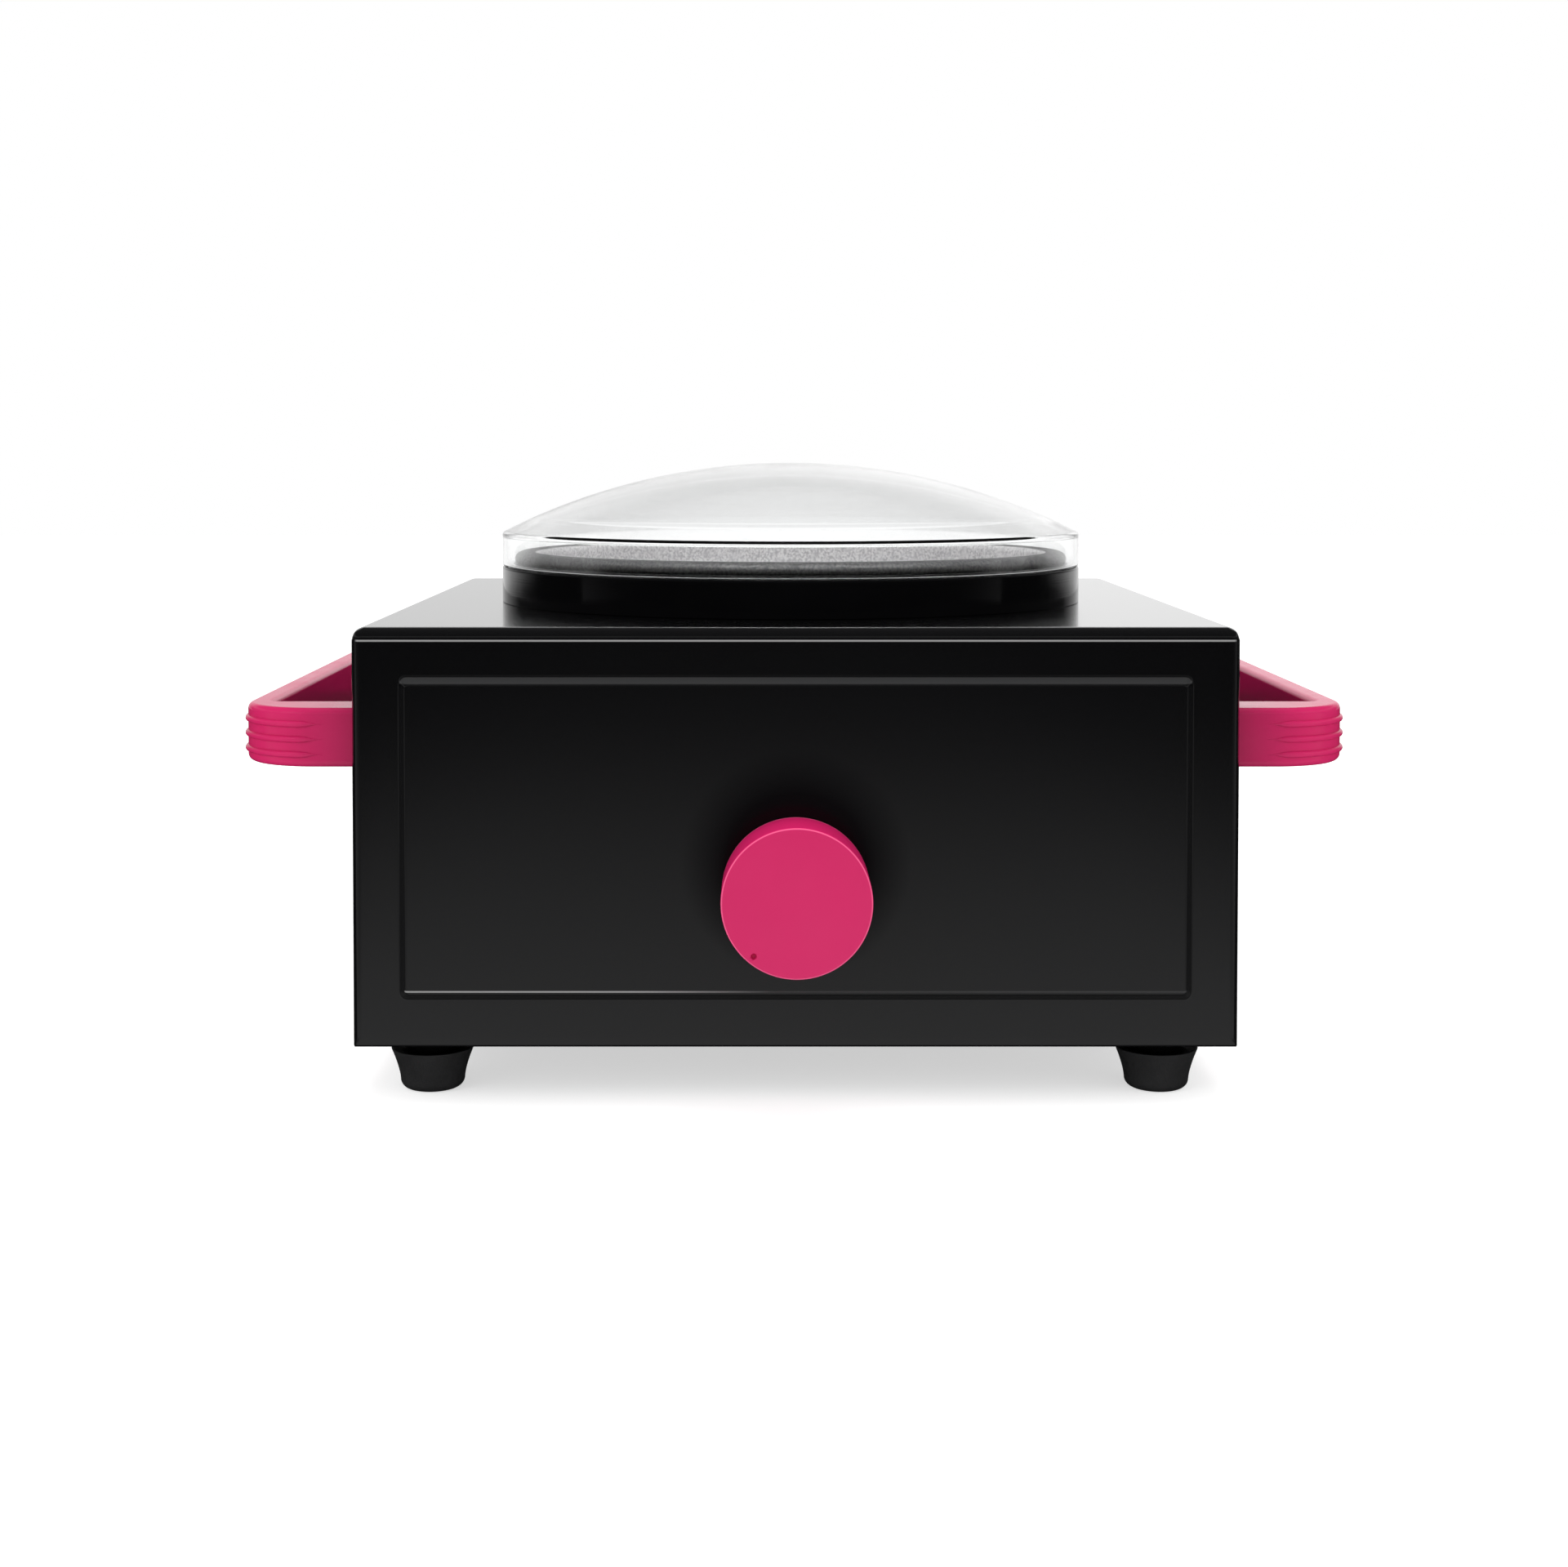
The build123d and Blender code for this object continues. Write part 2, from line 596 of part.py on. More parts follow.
def make_lid():
    """The clear lid: one wall thickness through a shallow dome and an upright skirt."""
    sphere = (COLLAR_R**2 + LID_RISE**2) / (2 * LID_RISE)
    centre_z = LID_EDGE_Z + LID_RISE - sphere
    inner_r = COLLAR_R - LID_WALL
    inner_sphere = sphere - LID_WALL
    inner_edge_z = centre_z + sqrt(inner_sphere**2 - inner_r**2)

    def on_dome(radius, away):
        return (away, centre_z + sqrt(radius**2 - away**2))

    outline = [
        ThreePointArc(on_dome(sphere, 0), on_dome(sphere, COLLAR_R / 2), (COLLAR_R, LID_EDGE_Z)),
        Polyline((COLLAR_R, LID_EDGE_Z), (COLLAR_R, LID_Z), (inner_r, LID_Z), (inner_r, inner_edge_z)),
        ThreePointArc(
            (inner_r, inner_edge_z), on_dome(inner_sphere, inner_r / 2), on_dome(inner_sphere, 0)
        ),
        Line(on_dome(inner_sphere, 0), on_dome(sphere, 0)),
    ]
    lid = revolve(Plane.XZ * make_face(outline), Axis.Z)
    rounds = [e for e in lid.edges().filter_by(GeomType.CIRCLE) if e.radius > COLLAR_R - SLIP]
    return fillet([e for e in rounds if e.center().Z > LID_EDGE_Z - SLIP], LID_ROUND)


def knob_bore(play):
    """The D-shaped outline of the shaft's end, grown by a play."""
    face = Circle(SHAFT_R + play)
    flat = SHAFT_FLAT + CLIP_T + 2 * play
    return face - Pos(0, flat + SHAFT_R) * Rectangle(4 * SHAFT_R, 2 * SHAFT_R)


def make_knob():
    """The hollow cap of the knob, its hub and the sunk dot that marks the setting."""
    knob = extrude(Circle(KNOB_R), KNOB_H)
    knob = fillet(knob.edges().group_by(Axis.Z)[-1], KNOB_ROUND)
    knob -= extrude(Circle(KNOB_R - KNOB_WALL), KNOB_H - KNOB_CAP)
    knob += extrude(Pos(0, 0, HUB_SHORT) * Circle(HUB_R), KNOB_H - KNOB_CAP - HUB_SHORT)
    knob -= extrude(Pos(0, 0, HUB_SHORT) * knob_bore(RUNNING_FIT), KNOB_H - KNOB_CAP - HUB_SHORT)
    turn = radians(DOT_TURN)
    knob -= Pos(DOT_AT_R * sin(turn), DOT_AT_R * cos(turn), KNOB_H) * Sphere(DOT_R)
    return front_plane(0, KNOB_Y, KNOB_Z) * knob


def make_shaft():
    """The thermostat's shaft: round in its bush, with a flat along the knob's hub."""
    inner_end = THERMO_Y + SHAFT_SEAT - SCREW_PLAY
    outer_end = KNOB_Y - KNOB_H + KNOB_CAP + SCREW_PLAY
    flat_start = KNOB_Y - HUB_SHORT
    shaft = rod(SHAFT_R, (0, inner_end, KNOB_Z), (0, outer_end, KNOB_Z))
    cut = Pos(0, SHAFT_FLAT + SHAFT_R) * Rectangle(4 * SHAFT_R, 2 * SHAFT_R)
    shaft -= extrude(front_plane(0, flat_start, KNOB_Z) * cut, flat_start - outer_end + SHAFT_R)
    return shaft


def make_knob_clip():
    """The spring strip that grips the shaft's flat inside the hub."""
    width = 2 * sqrt(SHAFT_R**2 - (SHAFT_FLAT + CLIP_T) ** 2) - 4 * RUNNING_FIT
    strip = Pos(0, SHAFT_FLAT + RUNNING_FIT + CLIP_T / 2) * Rectangle(width, CLIP_T)
    return extrude(front_plane(0, KNOB_Y - 2 * HUB_SHORT, KNOB_Z) * strip, CLIP_LENGTH)


def make_thermostat():
    """The thermostat's case, with its bush through the panel and its spade tabs below."""
    case = Pos(0, THERMO_MID_Y, KNOB_Z) * Box(THERMO_W, THERMO_D, THERMO_H)
    case = fillet(case.edges().filter_by(Axis.Y), 2)
    case += rod(THERMO_BUSH_R, (0, THERMO_Y, KNOB_Z), (0, CROWN_Y, KNOB_Z))
    case -= rod(SHAFT_R + RUNNING_FIT, (0, THERMO_Y + SHAFT_SEAT, KNOB_Z), (0, CROWN_Y, KNOB_Z))
    for x in thermostat_screw_places():
        depth = THERMO_Y + THERMO_SCREW_LENGTH
        case -= rod(THERMO_SCREW_R + RUNNING_FIT, (x, depth, KNOB_Z), (x, THERMO_Y, KNOB_Z))
    for x in THERMO_TAB_X:
        tab = Box(THERMO_TAB_T, THERMO_TAB_W, THERMO_TAB_H)
        case += Pos(x, THERMO_MID_Y, THERMO_LOW_Z - THERMO_TAB_H / 2) * tab
    return case


def make_thermostat_screws():
    """Two screws under the knob that hold the thermostat to the panel."""
    length = SHEET + THERMO_SCREW_LENGTH - SCREW_PLAY
    screw = pan_screw(THERMO_SCREW_R, length, THERMO_SCREW_HEAD_R, THERMO_SCREW_HEAD_H)
    return [
        Plane(origin=(x, CROWN_Y, KNOB_Z), z_dir=(0, 1, 0)) * screw for x in thermostat_screw_places()
    ]


def make_bulb():
    """The sensor bulb, lying along the well's floor."""
    bulb = rod(BULB_R, (0, BULB_LENGTH / 2, BULB_Z), (0, -BULB_LENGTH / 2, BULB_Z))
    return fillet(bulb.edges().filter_by(GeomType.CIRCLE), BULB_R / 3)


def strap(radius, thickness, foot, centre_z, x, width):
    """A bent strap over a round piece that lies along Y under the well's floor."""
    bore = radius + SLIP
    outer = bore + thickness
    top = WELL_Z - centre_z
    hoop = Circle(outer) + Pos(0, top / 2) * Rectangle(2 * outer, top)
    hoop += Pos(0, top - thickness / 2) * Rectangle(2 * (outer + foot), thickness)
    hoop -= Circle(bore) + Pos(0, top / 2) * Rectangle(2 * bore, top)
    hoop -= Pos(0, top + outer) * Rectangle(4 * (outer + foot), 2 * outer)
    return extrude(front_plane(x, width / 2, centre_z) * hoop, width)


def make_band():
    """The heater band: a split ring with two ears for its clamp bolt."""
    outer = BAND_R + BAND_T
    band = ring(outer, BAND_R, BAND_Z, BAND_Z + BAND_H)
    band -= Pos(0, outer, BAND_Z + BAND_H / 2) * Box(BAND_SPLIT, outer, BAND_H)
    for side in (-1, 1):
        ear_x = side * (BAND_SPLIT / 2 + EAR_T / 2)
        ear_y = BAND_R + BAND_T / 2 + (EAR_REACH + BAND_T / 2) / 2
        ear = Pos(ear_x, ear_y, BAND_Z + BAND_H / 2) * Box(EAR_T, EAR_REACH + BAND_T / 2, EAR_H)
        near = (ear_x - EAR_T, EAR_MID_R, BAND_MID_Z)
        far = (ear_x + EAR_T, EAR_MID_R, BAND_MID_Z)
        band = band + ear - rod(CLAMP_R + SCREW_PLAY, near, far)
    return band


def make_clamp():
    """The bolt that draws the band's ears together, and its nut."""
    grip = BAND_SPLIT + 2 * EAR_T
    screw = pan_screw(CLAMP_R, grip + CLAMP_NUT_H + 1, CLAMP_HEAD_R, CLAMP_HEAD_H)
    nut = hex_nut(CLAMP_NUT_ACROSS, CLAMP_R + RUNNING_FIT, CLAMP_NUT_H)
    start = Plane(origin=(-grip / 2, EAR_MID_R, BAND_MID_Z), z_dir=(1, 0, 0))
    end = Plane(origin=(grip / 2, EAR_MID_R, BAND_MID_Z), z_dir=(1, 0, 0))
    return start * screw, end * nut


def post_ends():
    """The inner and outer end of each heater terminal, either side of the split."""
    ends = []
    for side in (-1, 1):
        turn = radians(90 + side * POST_TURN)
        way = (cos(turn), sin(turn))
        near = BAND_R + BAND_T + SLIP
        ends.append([(away * way[0], away * way[1], POST_Z) for away in (near, near + POST_LENGTH)])
    return ends


def make_sleeve():
    """The insulation round the band, open at the back where the ears stand out."""
    sleeve = ring(SLEEVE_R + SLEEVE_T, SLEEVE_R, BAND_Z - SLIP, BAND_Z + BAND_H + SLIP)
    reach = 2 * (SLEEVE_R + SLEEVE_T)
    half = radians(SLEEVE_GAP_TURN / 2)
    right = (reach * sin(half), reach * cos(half))
    left = (-reach * sin(half), reach * cos(half))
    wedge = make_face(Polyline((0, 0), right, left, close=True))
    return sleeve - extrude(Pos(0, 0, SHELL_Z) * wedge, BODY_H)


def block_ways():
    """The x of each way through the terminal block."""
    return [BLOCK_X + (k - (BLOCK_WAYS - 1) / 2) * BLOCK_PITCH for k in range(BLOCK_WAYS)]


def make_block():
    """The terminal block, with a wire way and a screw well for each lead."""
    block = Pos(BLOCK_X, BLOCK_Y, SHELL_Z + BLOCK_H / 2) * Box(BLOCK_W, BLOCK_D, BLOCK_H)
    block = fillet(block.edges().group_by(Axis.Z)[-1], 1)
    for x in block_ways():
        block -= rod(BLOCK_HOLE_R, (x, BLOCK_Y - BLOCK_D / 2, LEAD_Z), (x, BLOCK_Y + BLOCK_D / 2, LEAD_Z))
        for y in (BLOCK_Y - BLOCK_D / 4, BLOCK_Y + BLOCK_D / 4):
            block -= rod(BLOCK_SCREW_R + SLIP, (x, y, LEAD_Z), (x, y, SHELL_Z + BLOCK_H))
    return block


def make_block_screws():
    """The clamping screws down the terminal block's wells."""
    low = LEAD_Z + LEAD_R + SLIP
    ys = (BLOCK_Y - BLOCK_D / 4, BLOCK_Y + BLOCK_D / 4)
    return [rod(BLOCK_SCREW_R, (x, y, low), (x, y, SHELL_Z + BLOCK_H)) for x in block_ways() for y in ys]


def make_leads():
    """The five inner leads: live, switched, fused, neutral and earth."""
    earth_x, neutral_x, live_x = block_ways()
    block_y = BLOCK_Y - BLOCK_D / 4
    near_y = BLOCK_Y - BLOCK_D
    tab_z = THERMO_LOW_Z - THERMO_TAB_H - SLIP
    tab_left, tab_right = THERMO_TAB_X
    front_y = THERMO_MID_Y + 2 * THERMO_D
    left_post, right_post = [outer for inner, outer in reversed(post_ends())]
    post_y = left_post[1] - LEAD_R
    post_z = POST_Z - POST_R - SLIP
    fuse_y = FUSE_LENGTH / 2 + SLIP
    fuse_z = WELL_Z - SLIP - FUSE_R
    floor_z = LEAD_Z + 4 * LEAD_R
    bend = 5 * LEAD_R
    routes = [
        [
            (live_x, block_y, LEAD_Z),
            (live_x, near_y - 3 * bend, LEAD_Z),
            (tab_right, front_y, LEAD_Z),
            (tab_right, THERMO_MID_Y, LEAD_Z),
            (tab_right, THERMO_MID_Y, tab_z),
        ],
        [
            (tab_left, THERMO_MID_Y, tab_z),
            (tab_left, THERMO_MID_Y, LEAD_Z),
            (FUSE_X, front_y, LEAD_Z),
            (FUSE_X, -fuse_y - 4 * bend, fuse_z),
            (FUSE_X, -fuse_y, fuse_z),
        ],
        [
            (FUSE_X, fuse_y, fuse_z),
            (FUSE_X, fuse_y + 4 * bend, fuse_z),
            (left_post[0], post_y - 4 * bend, floor_z),
            (left_post[0], post_y, floor_z),
            (left_post[0], post_y, post_z),
        ],
        [
            (neutral_x, block_y, LEAD_Z),
            (neutral_x, near_y - bend, LEAD_Z),
            (right_post[0], near_y - 3 * bend, floor_z),
            (right_post[0], post_y, floor_z),
            (right_post[0], post_y, post_z),
        ],
        [
            (earth_x, block_y, LEAD_Z),
            (earth_x, near_y, LEAD_Z),
            (earth_x - 3 * bend, near_y, LEAD_Z),
            (EARTH_X, EARTH_Y - 3 * bend, LEAD_Z),
            (EARTH_X, EARTH_Y - EARTH_R - SLIP, LEAD_Z),
        ],
    ]
    return [lead(LEAD_R, bend, *route) for route in routes]


def make_earth():
    """The earth stud through the base plate, with its nut."""
    stud = Pos(EARTH_X, EARTH_Y, BASE_Z) * pan_screw(EARTH_R, EARTH_H, 2 * EARTH_R, EARTH_R)
    nut = Pos(EARTH_X, EARTH_Y, SHELL_Z) * hex_nut(FOOT_NUT_ACROSS, EARTH_R + RUNNING_FIT, FOOT_NUT_H)
    return stud, nut


def make_gland():
    """The cord gland: a flange and tapered nose outside, a barrel through the wall."""
    outline = make_face(
        Polyline(
            (GLAND_BORE_R, -SHEET - GLAND_TAIL),
            (GLAND_BARREL_R, -SHEET - GLAND_TAIL),
            (GLAND_BARREL_R, 0),
            (GLAND_FLANGE_R, 0),
            (GLAND_FLANGE_R, GLAND_FLANGE_T),
            (GLAND_BARREL_R, GLAND_FLANGE_T),
            (GLAND_NOSE_R, GLAND_NOSE),
            (GLAND_BORE_R, GLAND_NOSE),
            close=True,
        )
    )
    gland = revolve(Plane.XZ * outline, Axis.Z)
    return Plane(origin=(GLAND_X, REAR_Y, GLAND_Z), z_dir=(0, 1, 0)) * gland


def make_gland_nut():
    """The hexagon nut that holds the gland from inside."""
    nut = hex_nut(GLAND_NUT_ACROSS, GLAND_BARREL_R + RUNNING_FIT, GLAND_NUT_T)
    return Plane(origin=(GLAND_X, REAR_Y - SHEET, GLAND_Z), z_dir=(0, -1, 0)) * nut


save("body_shell", make_body_shell())
save("base_plate", make_base_plate())
base_screw = pan_screw(BASE_SCREW_R, BASE_SCREW_LENGTH, 2 * BASE_SCREW_R, BASE_SCREW_HEAD_H)
save("base_screws", *[Pos(x, y, BASE_Z) * base_screw for x, y in base_screw_places()])

foot = make_foot()
foot_names = ("foot_front_left", "foot_front_right", "foot_rear_left", "foot_rear_right")
for name, (x, y) in zip(foot_names, corners(FOOT_X, FOOT_Y)):
    save(name, Pos(x, y, 0) * foot)
foot_screws, foot_nuts = make_foot_fasteners()
save("foot_screws", *foot_screws)
save("foot_nuts", *foot_nuts)

handle = make_handle()
save("handle_right", handle)
save("handle_left", mirror(handle, Plane.YZ))
handle_screws, handle_washers = make_handle_fasteners()
save("handle_screws", *handle_screws)
save("handle_washers", *handle_washers)

save("heating_well", make_well())
save("well_gasket", make_gasket())
save("pot_collar", make_collar())
save("collar_screws", *make_collar_screws())
save("wax_pot", make_pot())
save("lid", make_lid())

save("control_knob", make_knob())
save("knob_clip", make_knob_clip())
save("thermostat_shaft", make_shaft())
save("thermostat_body", make_thermostat())
save("thermostat_screws", *make_thermostat_screws())

save("sensor_bulb", make_bulb())
save("bulb_clip", strap(BULB_R, BULB_CLIP_T, BULB_CLIP_FOOT, BULB_Z, 0, BULB_CLIP_W))
save(
    "capillary_tube",
    lead(
        CAPILLARY_R,
        8 * CAPILLARY_R,
        (0, -BULB_LENGTH / 2, BULB_Z),
        (0, -BULB_LENGTH / 2 - 5 * BULB_R, BULB_Z),
        (CAPILLARY_X, THERMO_MID_Y + THERMO_D, LEAD_Z + 4 * LEAD_R),
        (CAPILLARY_X, THERMO_MID_Y, LEAD_Z + 4 * LEAD_R),
        (CAPILLARY_X, THERMO_MID_Y, THERMO_LOW_Z),
    ),
)
fuse_z = WELL_Z - SLIP - FUSE_R
save("thermal_fuse", rod(FUSE_R, (FUSE_X, -FUSE_LENGTH / 2, fuse_z), (FUSE_X, FUSE_LENGTH / 2, fuse_z)))
save("fuse_clip", strap(FUSE_R, FUSE_CLIP_T, FUSE_R * 2, fuse_z, FUSE_X, FUSE_LENGTH / 2))

save("heater_band", make_band())
clamp_screw, clamp_nut = make_clamp()
save("clamp_screw", clamp_screw)
save("clamp_nut", clamp_nut)
save("heater_terminals", *[rod(POST_R, inner, outer) for inner, outer in post_ends()])
save("insulation_sleeve", make_sleeve())

save("terminal_block", make_block())
save("terminal_screws", *make_block_screws())
save("inner_leads", *make_leads())
earth_stud, earth_nut = make_earth()
save("earth_stud", earth_stud)
save("earth_nut", earth_nut)
save("cord_gland", make_gland())
save("gland_nut", make_gland_nut())
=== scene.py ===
# %% [markdown]
# A table-top wax warmer: a black steel box on four rubber feet, pink side handles, one pink knob.
# A lift-out pot hangs in the middle of its top under a clear domed lid.
# The construction model is loaded first as a fixed frame. It gives every place and size, so the
# pieces made here are dressed around it in the same metres and ride on its bodies.

# %% Load the frame
import json
from math import cos, pi, radians, sin, sqrt, tan

import bmesh
import bpy
from mathutils import Matrix, Vector


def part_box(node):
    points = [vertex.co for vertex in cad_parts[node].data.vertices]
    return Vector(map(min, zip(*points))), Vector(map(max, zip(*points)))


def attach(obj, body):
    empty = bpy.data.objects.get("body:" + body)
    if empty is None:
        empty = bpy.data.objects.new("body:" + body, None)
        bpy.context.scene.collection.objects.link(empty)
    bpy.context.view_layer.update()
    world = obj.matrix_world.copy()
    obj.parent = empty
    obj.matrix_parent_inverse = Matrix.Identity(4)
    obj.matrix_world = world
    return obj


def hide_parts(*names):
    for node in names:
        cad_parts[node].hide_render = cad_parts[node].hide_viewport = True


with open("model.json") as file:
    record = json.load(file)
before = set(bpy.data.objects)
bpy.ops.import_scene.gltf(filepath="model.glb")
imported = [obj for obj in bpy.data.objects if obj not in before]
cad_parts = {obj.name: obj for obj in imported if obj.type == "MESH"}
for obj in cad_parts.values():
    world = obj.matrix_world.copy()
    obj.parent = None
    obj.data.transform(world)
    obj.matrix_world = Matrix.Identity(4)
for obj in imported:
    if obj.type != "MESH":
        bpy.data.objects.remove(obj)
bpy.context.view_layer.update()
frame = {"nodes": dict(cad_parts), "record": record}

print("nodes", len(frame["nodes"]))

# %% [markdown]
# Every place below is read from the boxes of the construction nodes, so that a piece made here
# lands on what carries it. Only sizes that no box can give, such as the depth of the pressed
# panel, are written as values of their own.

# %% Measures from the frame
shell_low, shell_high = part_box("body_shell")
collar_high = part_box("pot_collar")[1]
lid_low, lid_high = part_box("lid")
pot_low, pot_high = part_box("wax_pot")
knob_low, knob_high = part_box("control_knob")

PANEL_RAISE = 0.00275
WALL_X = shell_high.x
REAR_Y = shell_high.y
CROWN_Y = shell_low.y
FRONT_Y = CROWN_Y + PANEL_RAISE
BASE_Z = shell_low.z
TOP_Z = shell_high.z
MIDDLE_Y = (FRONT_Y + REAR_Y) / 2
KNOB_Z = (knob_low.z + knob_high.z) / 2
KNOB_R = (knob_high.x - knob_low.x) / 2
print("box", round(2 * WALL_X, 4), round(REAR_Y - FRONT_Y, 4), round(TOP_Z - BASE_Z, 4))

# %% [markdown]
# The camera stands 0.60 m in front of the box, a little to its left and about 18 cm above the
# table. It looks almost level. The object sits low in the picture because the lens is shifted, as
# on a view camera, which keeps the upright edges parallel. Two degrees of tilt take over part of
# the shift, so that the views from other sides keep the object in the frame.

# %% Camera
IMAGE_W, IMAGE_H = 1920, 1919
FOCAL_PIXELS = 2737
VANISHING_X = 933
HORIZON_Y = 554
SENSOR_W = 36
CAMERA_BACK = 0.5991
CAMERA_LEFT = 0.0091
CAMERA_Z = 0.1768
CAMERA_TILT = radians(2)


def placed(name, data):
    """An object for a mesh, a curve, a lamp or the camera, put into the scene."""
    thing = bpy.data.objects.new(name, data)
    bpy.context.collection.objects.link(thing)
    return thing


tilt_pixels = FOCAL_PIXELS * tan(CAMERA_TILT)
lens = bpy.data.cameras.new("view_camera")
lens.sensor_width = SENSOR_W
lens.lens = FOCAL_PIXELS / IMAGE_W * SENSOR_W
lens.shift_x = (IMAGE_W / 2 - VANISHING_X) / IMAGE_W
lens.shift_y = -(IMAGE_H / 2 - HORIZON_Y - tilt_pixels) / IMAGE_W
lens.dof.use_dof = False
camera = placed("view_camera", lens)
camera.location = (-CAMERA_LEFT, FRONT_Y - CAMERA_BACK, CAMERA_Z)
camera.rotation_euler = (pi / 2 - CAMERA_TILT, 0, 0)
bpy.context.scene.camera = camera
print("lens", round(lens.lens, 2), "shift", round(lens.shift_x, 4), round(lens.shift_y, 4))

# %% [markdown]
# Finishes, the studio and the trees that make repeated pieces are all built from nodes. A few
# helpers add a node and work out numbers with nodes, so that the cells below read like sums. Each
# helper that takes an output finds the tree to work in from that output.

# %% Helpers for nodes


def add(owner, kind, **settings):
    """A new node. Settings with a capital are its inputs, and the others are its options."""
    node = getattr(owner, "node_tree", owner).nodes.new(kind)
    for name, value in settings.items():
        if name[0].isupper():
            node.inputs[name.replace("_", " ")].default_value = value
        else:
            setattr(node, name, value)
    return node


def link(source, target):
    source.id_data.links.new(source, target)


def between(value, low, high, new_low, new_high):
    """A value mapped from one range to another and held inside it."""
    ends = {"From_Min": low, "From_Max": high, "To_Min": new_low, "To_Max": new_high}
    node = add(value.id_data, "ShaderNodeMapRange", **ends)
    link(value, node.inputs["Value"])
    return node.outputs["Result"]


def above(value, limit, ease):
    """1 where a value is past a limit, after a short rise, and 0 short of it."""
    return between(value, limit, limit + ease, 0.0, 1.0)


def below(value, limit, ease):
    """1 where a value is short of a limit, and 0 past it, after a short fall."""
    return between(value, limit, limit + ease, 1.0, 0.0)


def work_out(operation, *terms):
    """One step of arithmetic on one to three terms, each a number or an output."""
    tree = next(term.id_data for term in terms if not isinstance(term, float))
    node = add(tree, "ShaderNodeMath", operation=operation)
    for socket, term in zip(node.inputs, terms):
        if isinstance(term, float):
            socket.default_value = term
        else:
            link(term, socket)
    return node.outputs["Value"]


def times(first, *others):
    for other in others:
        first = work_out("MULTIPLY", first, other)
    return first


def line_at(value, middle, half):
    """1 on a line of a given half width, which fades out over as much again."""
    return below(work_out("ABSOLUTE", work_out("SUBTRACT", value, middle)), half, half)


def reach(first, second):
    """How far from the origin two coordinates are together."""
    squared = work_out("MULTIPLY_ADD", first, first, work_out("MULTIPLY", second, second))
    return work_out("POWER", squared, 0.5)


def axes_of(place):
    """The separate coordinates of a place, by name."""
    apart = add(place.id_data, "ShaderNodeSeparateXYZ")
    link(place, apart.inputs["Vector"])
    return apart.outputs


def mixed(share, first, second):
    """A mix of two colours by a share. Each is an output or three numbers."""
    mix = add(share.id_data, "ShaderNodeMix", data_type="RGBA")
    link(share, mix.inputs["Factor"])
    for socket, source in (("A", first), ("B", second)):
        if isinstance(source, tuple):
            mix.inputs[socket].default_value = (*source, 1)
        else:
            link(source, mix.inputs[socket])
    return mix.outputs["Result"]


def scaled(vector, share):
    node = add(share.id_data, "ShaderNodeVectorMath", operation="SCALE")
    link(vector, node.inputs[0])
    link(share, node.inputs["Scale"])
    return node.outputs["Vector"]


print("node helpers ready")

# %% [markdown]
# Each finish starts from one Principled shader, whose plain numbers are set on its own sockets.
# Patterns read Object coordinates. The finished objects sit at the origin, so those coordinates are
# metres on the real object, and a noise of scale 500 has grains of about 2 mm.

# %% Helpers for finishes


def finish(name, colour, roughness, metallic=0.0, **sockets):
    """A new material with one Principled shader; further sockets are named with underscores."""
    material = bpy.data.materials.new(name)
    material.use_nodes = True
    values = {"Base_Color": (*colour, 1), "Roughness": roughness, "Metallic": metallic, **sockets}
    for socket, value in values.items():
        input_of(material, socket.replace("_", " ")).default_value = value
    return material


def input_of(material, name):
    return material.node_tree.nodes["Principled BSDF"].inputs[name]


def fed(socket):
    """The output that a socket takes its value from so far."""
    return socket.links[0].from_socket


def object_place(material, stretch=(1, 1, 1), shift=(0, 0, 0)):
    """Object coordinates, stretched along an axis for grain that runs one way."""
    where = add(material, "ShaderNodeTexCoord")
    mapping = add(material, "ShaderNodeMapping", Location=shift, Scale=stretch)
    link(where.outputs["Object"], mapping.inputs["Vector"])
    return mapping.outputs["Vector"]


def ring_place(material):
    """A place on a turned piece: its distance from the pot's axis as X, and its height as Z."""
    centred = axes_of(object_place(material, shift=(0, -MIDDLE_Y, 0)))
    together = add(material, "ShaderNodeCombineXYZ")
    link(reach(centred["X"], centred["Y"]), together.inputs["X"])
    link(centred["Z"], together.inputs["Z"])
    return together.outputs["Vector"]


def pattern(material, kind, place=None, **settings):
    """A pattern's outputs, by name. It reads a place, or else plain Object coordinates."""
    node = add(material, kind, **settings)
    link(place or object_place(material), node.inputs["Vector"])
    return node.outputs


def grain(material, scale, detail, stretch=(1, 1, 1), place=None):
    """A noise pattern's value."""
    place = place or object_place(material, stretch)
    return pattern(material, "ShaderNodeTexNoise", place, Scale=scale, Detail=detail)["Fac"]


def tint(material, value, dark, light):
    """Mixes two colours by a value, into the base colour."""
    link(mixed(value, dark, light), input_of(material, "Base Color"))


def dim(material, share):
    """Multiplies the colour that a finish already has by a share that changes over it."""
    colour = input_of(material, "Base Color")
    link(scaled(fed(colour), share), colour)


def paint_over(material, share, colour):
    """Lays another colour over the one that a finish already has, by a share."""
    base = input_of(material, "Base Color")
    link(mixed(share, fed(base), colour), base)


def roughen(material, value, low, high, span=(0.3, 0.7)):
    """Lets the roughness follow a value over a span, which is where most of a noise lies."""
    link(between(value, *span, low, high), input_of(material, "Roughness"))


def emboss(material, value, depth):
    """A bump of a real depth in metres. A second one is laid over the first."""
    normal = input_of(material, "Normal")
    bump = add(material, "ShaderNodeBump", Distance=depth)
    link(value, bump.inputs["Height"])
    if normal.is_linked:
        link(fed(normal), bump.inputs["Normal"])
    link(bump.outputs["Normal"], normal)


print("finish helpers ready")

